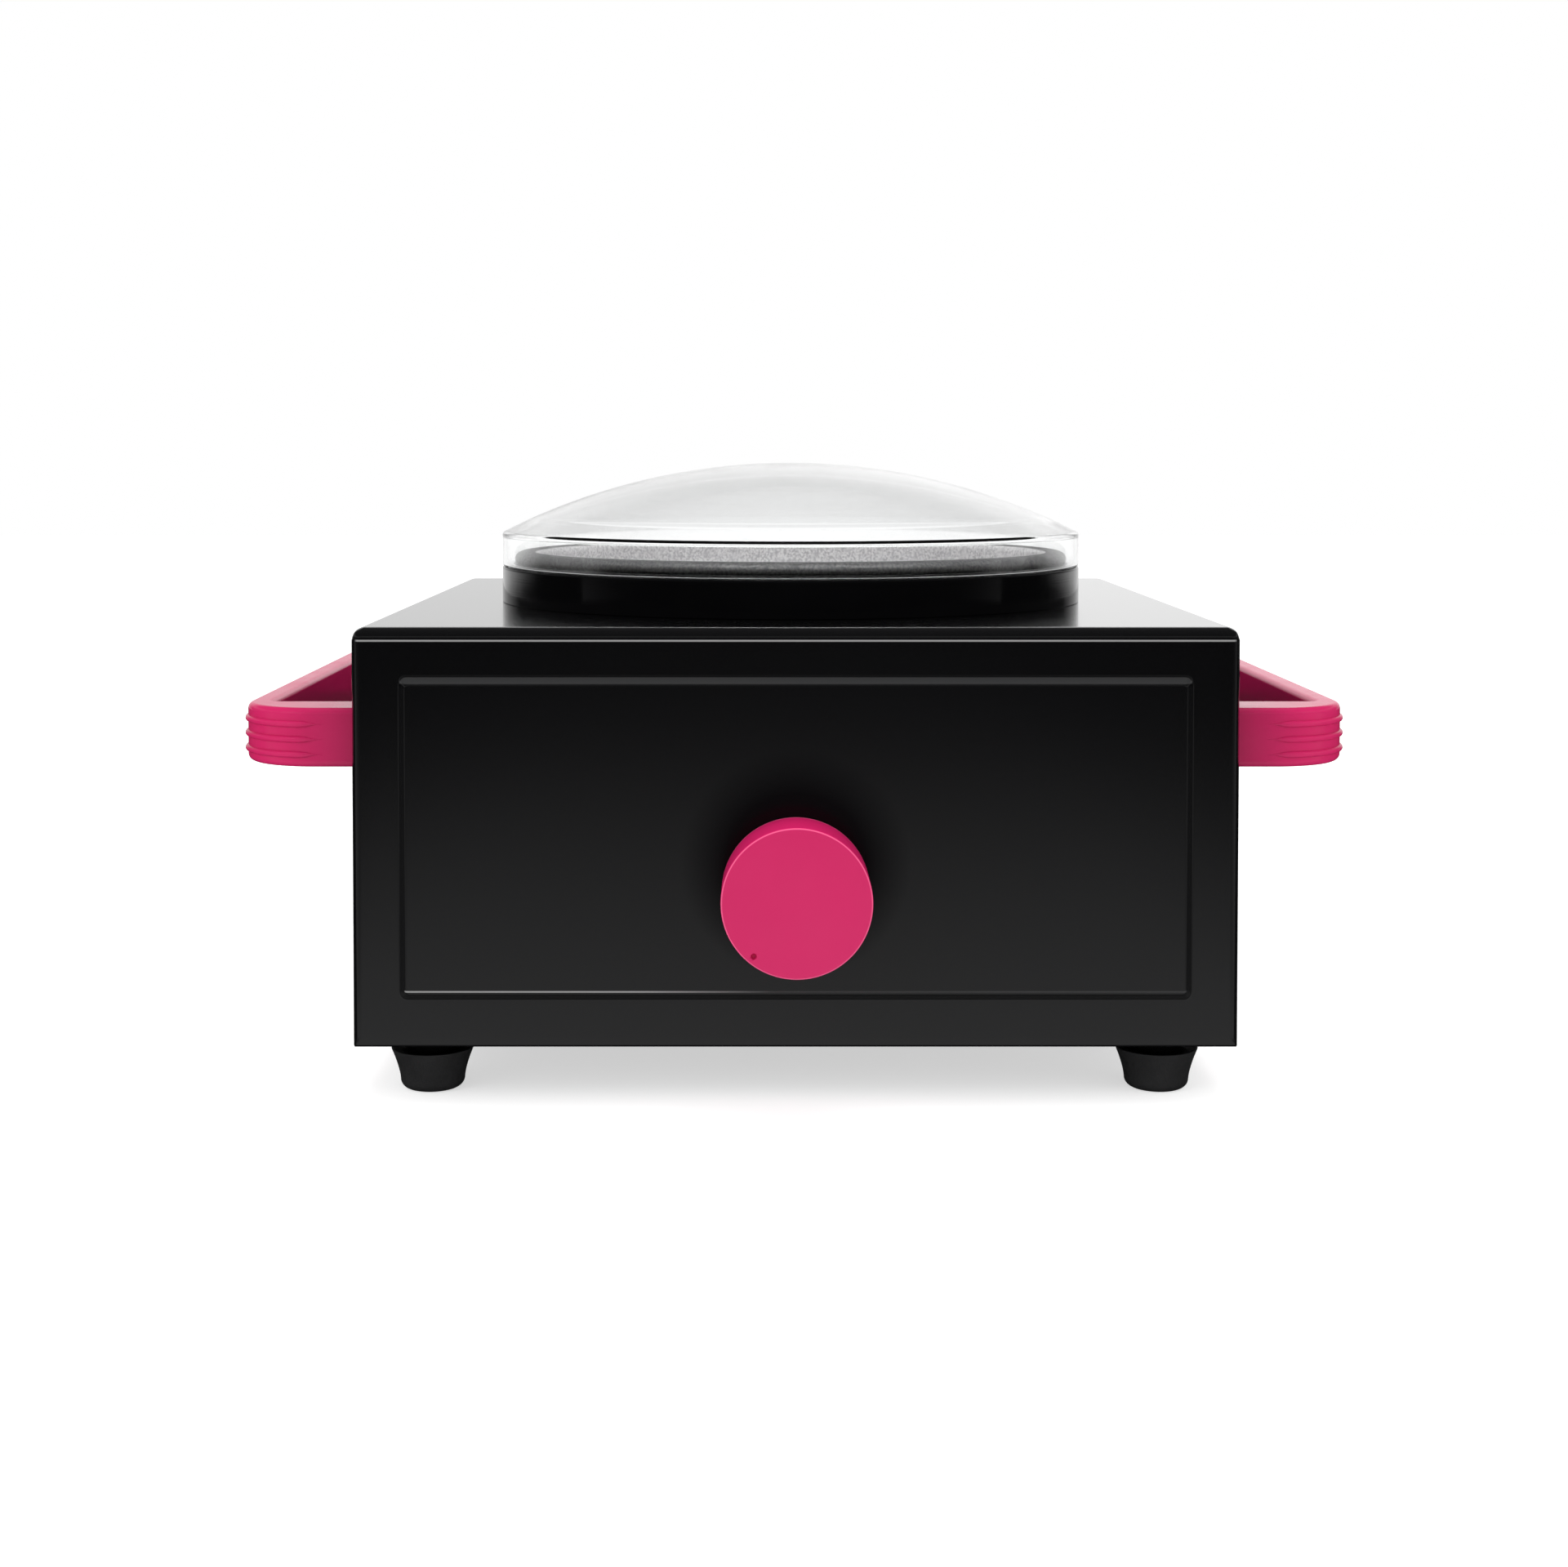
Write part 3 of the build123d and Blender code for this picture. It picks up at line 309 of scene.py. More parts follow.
# %% [markdown]
# The cover and the base frame of such a warmer are sheet steel, stoved with a hard black gloss.
# Up close a stoved coat isn't a perfect mirror: it has a fine orange peel. A clear coat over a
# nearly black base gives the sharp mirror at a grazing angle, and two faint bumps, one fine and
# one broad, break it up as the real coat does. The upper bevel of the pressed panel is painted a
# shade lighter, as painted light. A fine painted highlight runs along the lower crown and along the
# foot of the top fold. Round the knob the clear coat is turned down, which paints a soft dark
# shadow.

# %% Gloss black paint
PANEL_BORDER = 0.013
PANEL_BEVEL = 0.0021
FOLD_R = 0.0036
BEVEL_PAINTED_LIGHT = (0.036, 0.036, 0.037)
PAINTED_HIGHLIGHT_LINE = (0.30, 0.30, 0.30)
FOOT_LINE_RISE, FOOT_LINE_HALF = 0.0007, 0.00014
FOLD_LINE_RISE, FOLD_LINE_HALF = 0.0001, 0.00016
LINE_DIES = (-0.042, -0.006)
LINE_LEFT_OVER = 0.08
SHADOW_LIFT = 0.007
SHADOW_REACH = (0.019, 0.031)
SHADOWED_COAT = 0.1
BEVEL_RAISE, CROWN_REACH, WALL_REACH = 0.0005, 0.0004, 0.0002
FADE, BEVEL_FADE, WALL_FADE = 0.0002, 0.0003, 0.001

black_paint = finish(
    "gloss_black_paint", (0.002, 0.002, 0.0023), 0.25,
    Coat_Weight=1.0, Coat_Roughness=0.14, Coat_IOR=1.55, Specular_IOR_Level=0.05,
)
emboss(black_paint, grain(black_paint, 420, 2.0), 0.000006)
emboss(black_paint, grain(black_paint, 26, 1.0), 0.00004)
tint(black_paint, grain(black_paint, 9, 3.0), (0.0015, 0.0015, 0.0019), (0.0025, 0.0025, 0.003))
paint_at = axes_of(object_place(black_paint))
crown_top = TOP_Z - PANEL_BORDER - PANEL_BEVEL
crown_foot = BASE_Z + PANEL_BORDER + PANEL_BEVEL
raised = below(paint_at["Y"], FRONT_Y - BEVEL_RAISE, FADE)
# Painted light: the upper bevel, which faces up, is painted a shade lighter.
paint_over(black_paint, times(raised, above(paint_at["Z"], crown_top, BEVEL_FADE)), BEVEL_PAINTED_LIGHT)
most_raised = below(paint_at["Y"], CROWN_Y + CROWN_REACH, FADE)
# Painted highlight: a fine light line along the lower crown, fading out towards the right.
foot_highlight = line_at(paint_at["Z"], crown_foot + FOOT_LINE_RISE, FOOT_LINE_HALF)
dying = between(paint_at["X"], *LINE_DIES, 1.0, LINE_LEFT_OVER)
paint_over(black_paint, times(most_raised, foot_highlight, dying), PAINTED_HIGHLIGHT_LINE)
# Painted highlight: a fine light line at the foot of the top fold, on the front only.
on_front = below(paint_at["Y"], FRONT_Y + WALL_REACH, 2 * FADE)
fold_highlight = line_at(paint_at["Z"], TOP_Z - FOLD_R + FOLD_LINE_RISE, FOLD_LINE_HALF)
paint_over(black_paint, times(on_front, fold_highlight), PAINTED_HIGHLIGHT_LINE)
# Painted shadow: round the knob, centred a little above it, the clear coat is turned down on the
# panel, so the panel shows a soft dark halo.
from_shadow = reach(paint_at["X"], work_out("SUBTRACT", paint_at["Z"], KNOB_Z + SHADOW_LIFT))
knob_shadow = between(from_shadow, *SHADOW_REACH, SHADOWED_COAT, 1.0)
not_panel = above(paint_at["Y"], FRONT_Y, WALL_FADE)
link(work_out("MAXIMUM", knob_shadow, not_panel), input_of(black_paint, "Coat Weight"))
print("made", black_paint.name)

# %% [markdown]
# The handles and the knob are moulded in one bright pink plastic with a gloss skin. Moulded gloss
# has a very faint flow pattern in its colour and slightly softer patches where the tool was
# polished less, so the colour and the roughness each follow a noise of their own. The handles are
# painted darker towards the wall, as painted shade where they meet the box. The knob's side is
# painted lighter as painted light, and its front and back edges get a thin painted highlight.

# %% Pink moulded plastic
ROOT_SHADE = 0.76
ROOT_REACH = 0.022
KNOB_RIM = 0.00045
BACK_HIGHLIGHT = (0.0016, 0.0010)
BACK_SHARE = 0.8
EDGE_PAINTED_HIGHLIGHT = (0.92, 0.13, 0.30)
KNOB_SIDE_PAINTED_LIGHT = (1.0, 0.026, 0.20)

pink_plastic = finish("pink_moulded_plastic", (0.66, 0.016, 0.128), 0.25, IOR=1.46)
tint(pink_plastic, grain(pink_plastic, 35, 3.0), (0.63, 0.014, 0.120), (0.69, 0.018, 0.136))
pink_at = axes_of(object_place(pink_plastic))
pink_side = work_out("ABSOLUTE", pink_at["X"])
by_knob = below(pink_side, WALL_X / 2, 0.01)
# Painted shade: the handles are darker towards the wall, where they meet the box.
painted_wall_shade = between(pink_side, WALL_X, WALL_X + ROOT_REACH, ROOT_SHADE, 1.0)
dim(pink_plastic, work_out("MAXIMUM", by_knob, painted_wall_shade))
# Painted light: the knob's side and the round at its edges are painted a lighter pink.
from_axis = reach(pink_at["X"], work_out("SUBTRACT", pink_at["Z"], KNOB_Z))
knob_rim = times(above(from_axis, KNOB_R - KNOB_RIM, FADE), by_knob)
paint_over(pink_plastic, knob_rim, KNOB_SIDE_PAINTED_LIGHT)
# Painted highlight: a thin light line on the knob's front edge and, weaker, on its back edge.
at_face = below(pink_at["Y"], knob_low.y + FADE, FADE)
back_low, back_high = (knob_high.y - depth for depth in BACK_HIGHLIGHT)
at_back = between(pink_at["Y"], back_low, back_high, 0.0, BACK_SHARE)
paint_over(pink_plastic, times(knob_rim, work_out("MAXIMUM", at_face, at_back)), EDGE_PAINTED_HIGHLIGHT)
roughen(pink_plastic, grain(pink_plastic, 90, 3.0), 0.21, 0.26)
emboss(pink_plastic, grain(pink_plastic, 260, 2.0), 0.000004)
print("made", pink_plastic.name)

# %% [markdown]
# The collar and the cord gland are black plastic. It is a little softer than the paint, and its
# gloss is broken by faint turning lines from its tool, which run round the ring.

# %% Black moulded plastic
black_plastic = finish(
    "black_moulded_plastic", (0.002, 0.002, 0.0025), 0.2, IOR=1.5, Specular_IOR_Level=0.16
)
mottle = grain(black_plastic, 60, 3.0)
tint(black_plastic, mottle, (0.0015, 0.0015, 0.0018), (0.0028, 0.0028, 0.0032))
roughen(black_plastic, grain(black_plastic, 220, 4.0), 0.07, 0.12)
emboss(black_plastic, grain(black_plastic, 2400, 2.0, place=ring_place(black_plastic)), 0.000006)
print("made", black_plastic.name)

# %% [markdown]
# The lid is clear plastic with real walls, so the light bends at both faces of the wall and the
# shoulder shows dark and bright lines, as a real moulding does. Fine rubbing marks from wiping
# show only as a slightly uneven roughness.

# %% Clear plastic
clear_plastic = finish(
    "clear_moulded_plastic", (0.985, 0.99, 0.99), 0.02, IOR=1.49, Transmission_Weight=1.0
)
roughen(clear_plastic, grain(clear_plastic, 300, 5.0), 0.0, 0.05, span=(0.35, 0.75))
emboss(clear_plastic, grain(clear_plastic, 30, 1.0), 0.00002)
print("made", clear_plastic.name)

# %% [markdown]
# The pot and the well are drawn aluminium. Spinning and polishing leave fine rings round the
# axis, and use leaves small dull and bright spots. The rings come from a noise that reads only the
# distance from the axis and the height, so it can't change along the way round. The inner wall is
# bright and satin. The rolled rim is painted dark grey as painted shade, with a little less
# roughness.

# %% Drawn aluminium
RIM_START = 0.0812
RIM_EASE = 0.0006
RIM_SHADE = 0.18
RIM_ROUGHNESS = 0.8

aluminium = finish("drawn_aluminium", (0.78, 0.78, 0.79), 0.3, 1.0)
turned_place = ring_place(aluminium)
spots = grain(aluminium, 1300, 6.0)
speckle = between(spots, 0.38, 0.62, 0.0, 1.0)
tint(aluminium, speckle, (0.74, 0.73, 0.74), (1.0, 0.99, 0.99))
# Painted shade: the rolled rim is painted dark grey, and its roughness is a little lower.
rolled = above(axes_of(turned_place)["X"], RIM_START, RIM_EASE)
dim(aluminium, between(rolled, 0.0, 1.0, 1.0, RIM_SHADE))
satin = between(speckle, 0.0, 1.0, 0.85, 0.6)
polished = times(satin, between(rolled, 0.0, 1.0, 1.0, RIM_ROUGHNESS))
link(polished, input_of(aluminium, "Roughness"))
emboss(aluminium, grain(aluminium, 2600, 3.0, place=turned_place), 0.000012)
emboss(aluminium, spots, 0.00003)
print("made", aluminium.name)

# %% [markdown]
# The feet are moulded black rubber: dark, matt and slightly chalky, with a fine even grain. The
# red silicone gasket has the same grain in another colour, so one function makes both. The feet's
# neck above the shoulder is painted near black with little specular, as painted shade under the
# box.

# %% Rubbers
SHOULDER_Z = 0.0112
SHOULDER_EASE = 0.0003
NECK_SHADE = 0.05
TREAD_SHEEN = 0.5


def rubber(name, dark, light):
    material = finish(name, dark, 0.55, IOR=1.5)
    tint(material, grain(material, 140, 5.0), dark, light)
    roughen(material, grain(material, 700, 3.0), 0.42, 0.6)
    emboss(material, grain(material, 1800, 2.0), 0.00003)
    return material


black_rubber = rubber("moulded_black_rubber", (0.018, 0.018, 0.019), (0.032, 0.032, 0.033))
red_silicone = rubber("red_silicone_rubber", (0.35, 0.05, 0.035), (0.46, 0.08, 0.06))
# Painted shade: the neck above the shoulder is painted near black, with little specular.
on_neck = above(axes_of(object_place(black_rubber))["Z"], SHOULDER_Z, SHOULDER_EASE)
dim(black_rubber, between(on_neck, 0.0, 1.0, 1.0, NECK_SHADE))
sheen = between(on_neck, 0.0, 1.0, TREAD_SHEEN, NECK_SHADE)
link(sheen, input_of(black_rubber, "Specular IOR Level"))
print("made", black_rubber.name, red_silicone.name)

# %% [markdown]
# The hidden sheet pieces are zinc-plated steel. Hot zinc sets in crystals of a few millimetres,
# each with its own tone, which a Voronoi pattern gives. Screws, nuts and washers are plated
# smoother, and the heater band has turned straw and blue in bands from heat.

# %% Plated steels
zinc_steel = finish("zinc_plated_sheet", (0.55, 0.56, 0.57), 0.35, 1.0)
spangle = pattern(zinc_steel, "ShaderNodeTexVoronoi", Scale=190.0)
tint(zinc_steel, spangle["Color"], (0.40, 0.41, 0.42), (0.66, 0.67, 0.68))
roughen(zinc_steel, spangle["Distance"], 0.28, 0.42, span=(0.0, 1.0))

screw_steel = finish("plated_screw_steel", (0.56, 0.55, 0.52), 0.28, 1.0)
tint(screw_steel, grain(screw_steel, 700, 4.0), (0.46, 0.45, 0.42), (0.66, 0.65, 0.62))
emboss(screw_steel, grain(screw_steel, 1500, 3.0), 0.00001)

band_steel = finish("heat_tinted_steel", (0.45, 0.42, 0.38), 0.35, 1.0)
heat_bands = grain(band_steel, 22, 3.0, stretch=(1, 1, 3))
tint(band_steel, heat_bands, (0.26, 0.24, 0.30), (0.62, 0.50, 0.34))
roughen(band_steel, grain(band_steel, 500, 4.0, stretch=(1, 1, 0.05)), 0.25, 0.45)
print("made", zinc_steel.name, screw_steel.name, band_steel.name)

# %% [markdown]
# The rest is inside the box: glass wool round the heater, unglazed ceramic and brass terminals,
# a drawn copper sensor line, a matt thermostat case and braided sleeving on the leads. They
# hardly show, but each has its own finish, because the box may be opened in another scene.

# %% Finishes inside the box
glass_wool = finish("glass_wool", (0.74, 0.70, 0.55), 0.95)
fibres = grain(glass_wool, 260, 8.0, stretch=(1, 1, 4))
tint(glass_wool, fibres, (0.60, 0.56, 0.42), (0.86, 0.82, 0.68))
emboss(glass_wool, fibres, 0.0006)

ceramic = finish("unglazed_ceramic", (0.80, 0.78, 0.73), 0.7)
tint(ceramic, grain(ceramic, 240, 5.0), (0.72, 0.70, 0.64), (0.85, 0.83, 0.79))
emboss(ceramic, grain(ceramic, 1600, 2.0), 0.00004)

case_plastic = finish("thermostat_case_plastic", (0.20, 0.19, 0.17), 0.5)
tint(case_plastic, grain(case_plastic, 90, 4.0), (0.17, 0.16, 0.14), (0.24, 0.23, 0.20))
emboss(case_plastic, grain(case_plastic, 1300, 2.0), 0.00003)

brass = finish("turned_brass", (0.75, 0.54, 0.24), 0.25, 1.0)
tint(brass, grain(brass, 420, 4.0), (0.62, 0.43, 0.18), (0.84, 0.63, 0.30))
emboss(brass, grain(brass, 2000, 2.0), 0.00001)

copper = finish("drawn_copper", (0.72, 0.37, 0.25), 0.3, 1.0)
drawing = grain(copper, 120, 4.0, stretch=(1, 0.2, 1))
tint(copper, drawing, (0.52, 0.24, 0.15), (0.82, 0.46, 0.32))
roughen(copper, grain(copper, 900, 3.0, stretch=(1, 0.1, 1)), 0.2, 0.4)

sleeving = finish("braided_sleeving", (0.72, 0.70, 0.64), 0.85)
weave = pattern(sleeving, "ShaderNodeTexChecker", Scale=1600.0)["Fac"]
tint(sleeving, weave, (0.58, 0.56, 0.50), (0.80, 0.78, 0.72))
emboss(sleeving, weave, 0.0001)
print("inner finishes made")

# %% [markdown]
# The construction nodes that already have the right shape stay as they are and only get a
# finish. The frame's record names a material slot for each node, so one table from slot to
# finish dresses them all.

# %% Dress the construction nodes
finish_of_slot = {
    "black_paint": black_paint,
    "zinc_steel": zinc_steel,
    "black_plastic": black_plastic,
    "pink_plastic": pink_plastic,
    "clear_plastic": clear_plastic,
    "pot_aluminium": aluminium,
    "black_rubber": black_rubber,
    "screw_steel": screw_steel,
    "band_steel": band_steel,
    "glass_wool": glass_wool,
    "case_plastic": case_plastic,
    "white_ceramic": ceramic,
    "red_silicone": red_silicone,
    "lead_cover": sleeving,
    "brass": brass,
    "copper_tube": copper,
}
slot_of_node = {entry["node"]: entry["material_slot"] for entry in frame["record"]["subparts"]}
for node, piece in frame["nodes"].items():
    piece.data.materials.clear()
    piece.data.materials.append(finish_of_slot[slot_of_node[node]])
print("dressed", len(slot_of_node), "nodes")

# %% [markdown]
# Three trees of Geometry Nodes make pieces below. Each has named inputs, which a modifier sets by
# their identifiers, and ends in Realize Instances and Set Material. What a tree grows is then
# baked to a plain mesh, because the pieces ride and export as plain meshes.

# %% Helpers for trees


def tree_with(name, **inputs):
    """A Geometry Nodes tree with named inputs, their identifiers, and its input node."""
    tree = bpy.data.node_groups.new(name, "GeometryNodeTree")
    sockets = {}
    for label, kind in {"Geometry": "Geometry", **inputs}.items():
        socket = tree.interface.new_socket(
            label.replace("_", " "), in_out="INPUT", socket_type=f"NodeSocket{kind}"
        )
        sockets[label] = socket.identifier
    tree.interface.new_socket("Geometry", in_out="OUTPUT", socket_type="NodeSocketGeometry")
    print(name, "inputs", sockets)
    return tree, sockets, add(tree, "NodeGroupInput")


def chain(*steps):
    """Joins the first output of each node to the first input of the next."""
    for before, after in zip(steps, steps[1:]):
        link(before.outputs[0], after.inputs[0])


def end_tree(given, last):
    """Ends a tree in Realize Instances and Set Material, with the material that was given."""
    tree = given.id_data
    coated = add(tree, "GeometryNodeSetMaterial")
    link(given.outputs["Finish"], coated.inputs["Material"])
    chain(last, add(tree, "GeometryNodeRealizeInstances"), coated, add(tree, "NodeGroupOutput"))


def baked(source, name):
    """The evaluated shape of an object as a plain mesh object at the origin."""
    graph = bpy.context.evaluated_depsgraph_get()
    mesh = bpy.data.meshes.new_from_object(source.evaluated_get(graph), depsgraph=graph)
    source.modifiers.clear()
    bpy.data.objects.remove(source)
    mesh.name = name
    return placed(name, mesh)


def grown(holder, name, tree, sockets, **values):
    """What a tree makes from a holder's curve or points, as a plain mesh."""
    modifier = holder.modifiers.new(name, "NODES")
    modifier.node_group = tree
    for label, value in values.items():
        modifier[sockets[label]] = value
    return baked(holder, name)


def run_curve(name, places, closed=False):
    """A curve of straight runs through places, for a tree to work on."""
    curve = bpy.data.curves.new(name, "CURVE")
    curve.dimensions = "3D"
    spline = curve.splines.new("POLY")
    spline.points.add(len(places) - 1)
    for point, place in zip(spline.points, places):
        point.co = (*place, 1)
    spline.use_cyclic_u = closed
    return placed(name, curve)


# %% [markdown]
# The round pieces are all turned about an axis, so one Geometry Nodes tree makes them, like a
# lathe. A profile of radius and height is swept round a very small circle, and the doubles at
# the poles are merged. Could the pieces be spun in mesh code? Yes, but the tree keeps the number
# of steps as a named input, and the same profile can be turned finer or coarser.

# %% The lathe tree
LATHE_RAIL = 0.001
SAME_PLACE = 0.000002

lathe, lathe_inputs, lathe_in = tree_with("lathe", Steps="Int", Finish="Material")
rail = add(lathe, "GeometryNodeCurvePrimitiveCircle", Radius=LATHE_RAIL)
upright = add(lathe, "GeometryNodeSetCurveNormal", mode="Z_UP")
swept = add(lathe, "GeometryNodeCurveToMesh")
merged = add(lathe, "GeometryNodeMergeByDistance", Distance=SAME_PLACE)
link(lathe_in.outputs["Steps"], rail.inputs["Resolution"])
link(lathe_in.outputs["Geometry"], swept.inputs["Profile Curve"])
chain(rail, upright, swept, merged)
end_tree(lathe_in, merged)

# %% [markdown]
# A profile is drawn with sharp corners and then rounded, because no moulded or pressed edge is
# sharp. The helper replaces each corner by an arc of its own radius. On the finished mesh the
# faces are turned outwards, and edges steeper than 40 degrees stay crisp. Normals are weighted by
# face area, so a flat face stays flat right up to the round beside it.

# %% Profile and lathe helpers
CRISP = radians(40)
DOUBLES = 0.0000005
POT_AXIS = Matrix.Translation((0, MIDDLE_Y, 0))


def rounded(points, radii, steps=6, closed=False):
    """Points of an outline whose corners are replaced by arcs. A radius of 0 keeps a corner."""
    result = []
    count = len(points)
    for k, (point, radius) in enumerate(zip(points, radii)):
        here = Vector(point)
        if radius == 0 or (not closed and k in (0, count - 1)):
            result.append(tuple(here))
            continue
        back = (Vector(points[k - 1]) - here).normalized()
        ahead = (Vector(points[(k + 1) % count]) - here).normalized()
        half = back.angle(ahead) / 2
        centre = here + (back + ahead).normalized() * (radius / sin(half))
        start = here + back * (radius / tan(half)) - centre
        end = here + ahead * (radius / tan(half)) - centre
        sweep = start.angle(end)
        for step in range(steps + 1):
            share = step / steps
            arm = start * sin((1 - share) * sweep) + end * sin(share * sweep)
            result.append(tuple(centre + arm / sin(sweep)))
    return result


def settle(piece):
    """Turns a closed piece's faces outwards and shades it smooth, with flat faces kept flat."""
    name, mesh = piece.name, piece.data
    work = bmesh.new()
    work.from_mesh(mesh)
    bmesh.ops.remove_doubles(work, verts=work.verts, dist=DOUBLES)
    bmesh.ops.recalc_face_normals(work, faces=work.faces)
    open_edges = sum(1 for edge in work.edges if not edge.is_manifold)
    work.to_mesh(mesh)
    work.free()
    mesh.shade_smooth()
    mesh.set_sharp_from_angle(angle=CRISP)
    weigh = piece.modifiers.new("weigh", "WEIGHTED_NORMAL")
    weigh.keep_sharp = True
    weigh.weight = 100
    piece = baked(piece, name)
    print(name, "faces", len(piece.data.polygons), "open edges", open_edges)
    return piece


def turned(name, outline, material, steps, closed=False, place=Matrix()):
    """A piece turned on the lathe from points of radius and height, then put in its place."""
    profile = [(radius - LATHE_RAIL, -height, 0) for radius, height in outline]
    holder = run_curve(name, profile, closed)
    piece = grown(holder, name, lathe, lathe_inputs, Steps=steps, Finish=material)
    piece.data.transform(place)
    return settle(piece)


# %% [markdown]
# The lid is a shallow dome on a short upright skirt. The dome is part of a sphere, so its profile
# comes from the sphere's formula. The wall is 1.5 mm and the inner face is the same curve one wall
# further in. The shoulder is rounded outside and inside, each with its own radius. The light bends
# there most, which draws the shoulder's lines, and the skirt's foot is rounded on both edges.

# %% Lid
LID_WALL = 0.0015
LID_RISE = 0.022
SHOULDER_ROUND = 0.0014
INNER_ROUND = 0.0009
SKIRT_ROUND = 0.0005
DOME_STEPS = 40
# Points at the dome's edge that give way to the two rounds.
OUTER_CUT, INNER_CUT = 4, 5

lid_r = lid_high.x
lid_foot = lid_low.z
lid_edge = lid_high.z - LID_RISE
dome_r = (lid_r**2 + LID_RISE**2) / (2 * LID_RISE)
dome_centre = lid_high.z - dome_r


def dome_points(reach, radius):
    """Points over a dome, from its top out to a reach, close enough for a smooth shape."""
    places = [reach * k / DOME_STEPS for k in range(DOME_STEPS + 1)]
    return [(away, dome_centre + sqrt(radius**2 - away**2)) for away in places]


inner_r = lid_r - LID_WALL
outer_dome = dome_points(lid_r, dome_r)
inner_dome = dome_points(inner_r, dome_r - LID_WALL)
shoulder = rounded(
    [outer_dome[-OUTER_CUT], outer_dome[-1], (lid_r, lid_foot)], [0, SHOULDER_ROUND, 0], steps=8
)
foot = rounded(
    [(lid_r, lid_edge), (lid_r, lid_foot), (inner_r, lid_foot), (inner_r, lid_edge)],
    [0, SKIRT_ROUND, SKIRT_ROUND, 0],
    steps=4,
)
armpit = rounded(
    [(inner_r, lid_foot), inner_dome[-1], inner_dome[-INNER_CUT]], [0, INNER_ROUND, 0], steps=5
)
lid_outline = outer_dome[:-OUTER_CUT] + shoulder[:-1] + foot[1:-1] + armpit[1:]
lid_outline += inner_dome[:-INNER_CUT][::-1]
lid = turned("clear_lid", lid_outline, clear_plastic, steps=256, place=POT_AXIS)
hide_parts("lid")
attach(lid, "lid")

# %% [markdown]
# The collar is the black ring that the pot and the lid stand on. Its profile steps up in a low
# spigot, which keeps the lid centred, and is hollow underneath over the well's flange. All its
# edges are slightly round, and those small rounds catch the bright lines seen under the lid.

# %% Collar
COLLAR_R = collar_high.x
SPIGOT_OUT = COLLAR_R - 0.0022
SPIGOT_IN = SPIGOT_OUT - 0.0014
SPIGOT_H = 0.001
COLLAR_BORE = 0.0846
RECESS_R = 0.0905
RECESS_H = 0.0026

collar_top = collar_high.z - SPIGOT_H
collar_outline = rounded(
    [
        (COLLAR_BORE, TOP_Z + RECESS_H),
        (RECESS_R, TOP_Z + RECESS_H),
        (RECESS_R, TOP_Z),
        (COLLAR_R, TOP_Z),
        (COLLAR_R, collar_top),
        (SPIGOT_OUT, collar_top),
        (SPIGOT_OUT, collar_high.z),
        (SPIGOT_IN, collar_high.z),
        (SPIGOT_IN, collar_top),
        (COLLAR_BORE, collar_top),
    ],
    [0, 0, 0.0002, 0.0003, 0.0008, 0.0002, 0.0003, 0.0003, 0.0002, 0.0003],
    steps=5,
    closed=True,
)
collar = turned(
    "black_collar", collar_outline, black_plastic, steps=220, closed=True, place=POT_AXIS
)
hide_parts("pot_collar")
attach(collar, "housing")

# %% [markdown]
# The pot is drawn from one sheet: a flat floor, a large round up into a slightly tapered wall, and
# a rim that turns out and rolls down into a bead. The bead is drawn as a true curl of sheet with
# a hollow in it, because it shows through the lid as the grey band above the collar.

# %% Pot
POT_WALL = 0.0012
POT_TOP_R = 0.0816
POT_LOW_R = 0.0796
POT_ROUND = 0.009
RIM_OUTER_ROUND, RIM_INNER_ROUND = 0.001, 0.0022
BEAD_R = 0.0022
CURL_STEPS = 12

bead_at = pot_high.x - BEAD_R
bead_z = pot_high.z - BEAD_R
flange_z = pot_high.z - POT_WALL
pot_floor = pot_low.z


def half_turn(radius):
    """Points round the outer side of the bead, from its top down."""
    turns = [pi / 2 - pi * k / CURL_STEPS for k in range(CURL_STEPS + 1)]
    return [(bead_at + radius * cos(turn), bead_z + radius * sin(turn)) for turn in turns]


outside = rounded(
    [(0, pot_floor), (POT_LOW_R, pot_floor), (POT_TOP_R, flange_z), (bead_at, flange_z)],
    [0, POT_ROUND, RIM_OUTER_ROUND, 0],
    steps=10,
)
inside = rounded(
    [
        (bead_at, pot_high.z),
        (POT_TOP_R - POT_WALL, pot_high.z),
        (POT_LOW_R - POT_WALL, pot_floor + POT_WALL),
        (0, pot_floor + POT_WALL),
    ],
    [0, RIM_INNER_ROUND, POT_ROUND - POT_WALL, 0],
    steps=10,
)
curl = half_turn(BEAD_R - POT_WALL) + half_turn(BEAD_R)[::-1]
pot_outline = outside[:-1] + curl[:-1] + inside
pot = turned("wax_pot_spun", pot_outline, aluminium, steps=220, place=POT_AXIS)
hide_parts("wax_pot")
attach(pot, "pot")

# %% [markdown]
# The control knob is a plain hollow cap with a small round at its front edge and a sunk dot near
# its rim that shows the setting. The cap is turned, and the dot is cut with a small ball, so that
# it is a true hollow with its own shading. Ahead of the cut the face is a fine fan, and the cut
# only touches a few of its triangles.

# %% Knob
KNOB_WALL = 0.0016
KNOB_CAP = 0.0025
KNOB_ROUND = 0.0006
HUB_R = 0.0065
HUB_RISE = 0.001
SHAFT_R = 0.00315
DOT_R = 0.0009
DOT_AT = 0.0177
DOT_TURN = radians(219.4)
DOT_SINK = 0.4


def from_work(name, work):
    """The object that mesh work has made. The work itself is done with."""
    mesh = bpy.data.meshes.new(name)
    work.to_mesh(mesh)
    work.free()
    return placed(name, mesh)


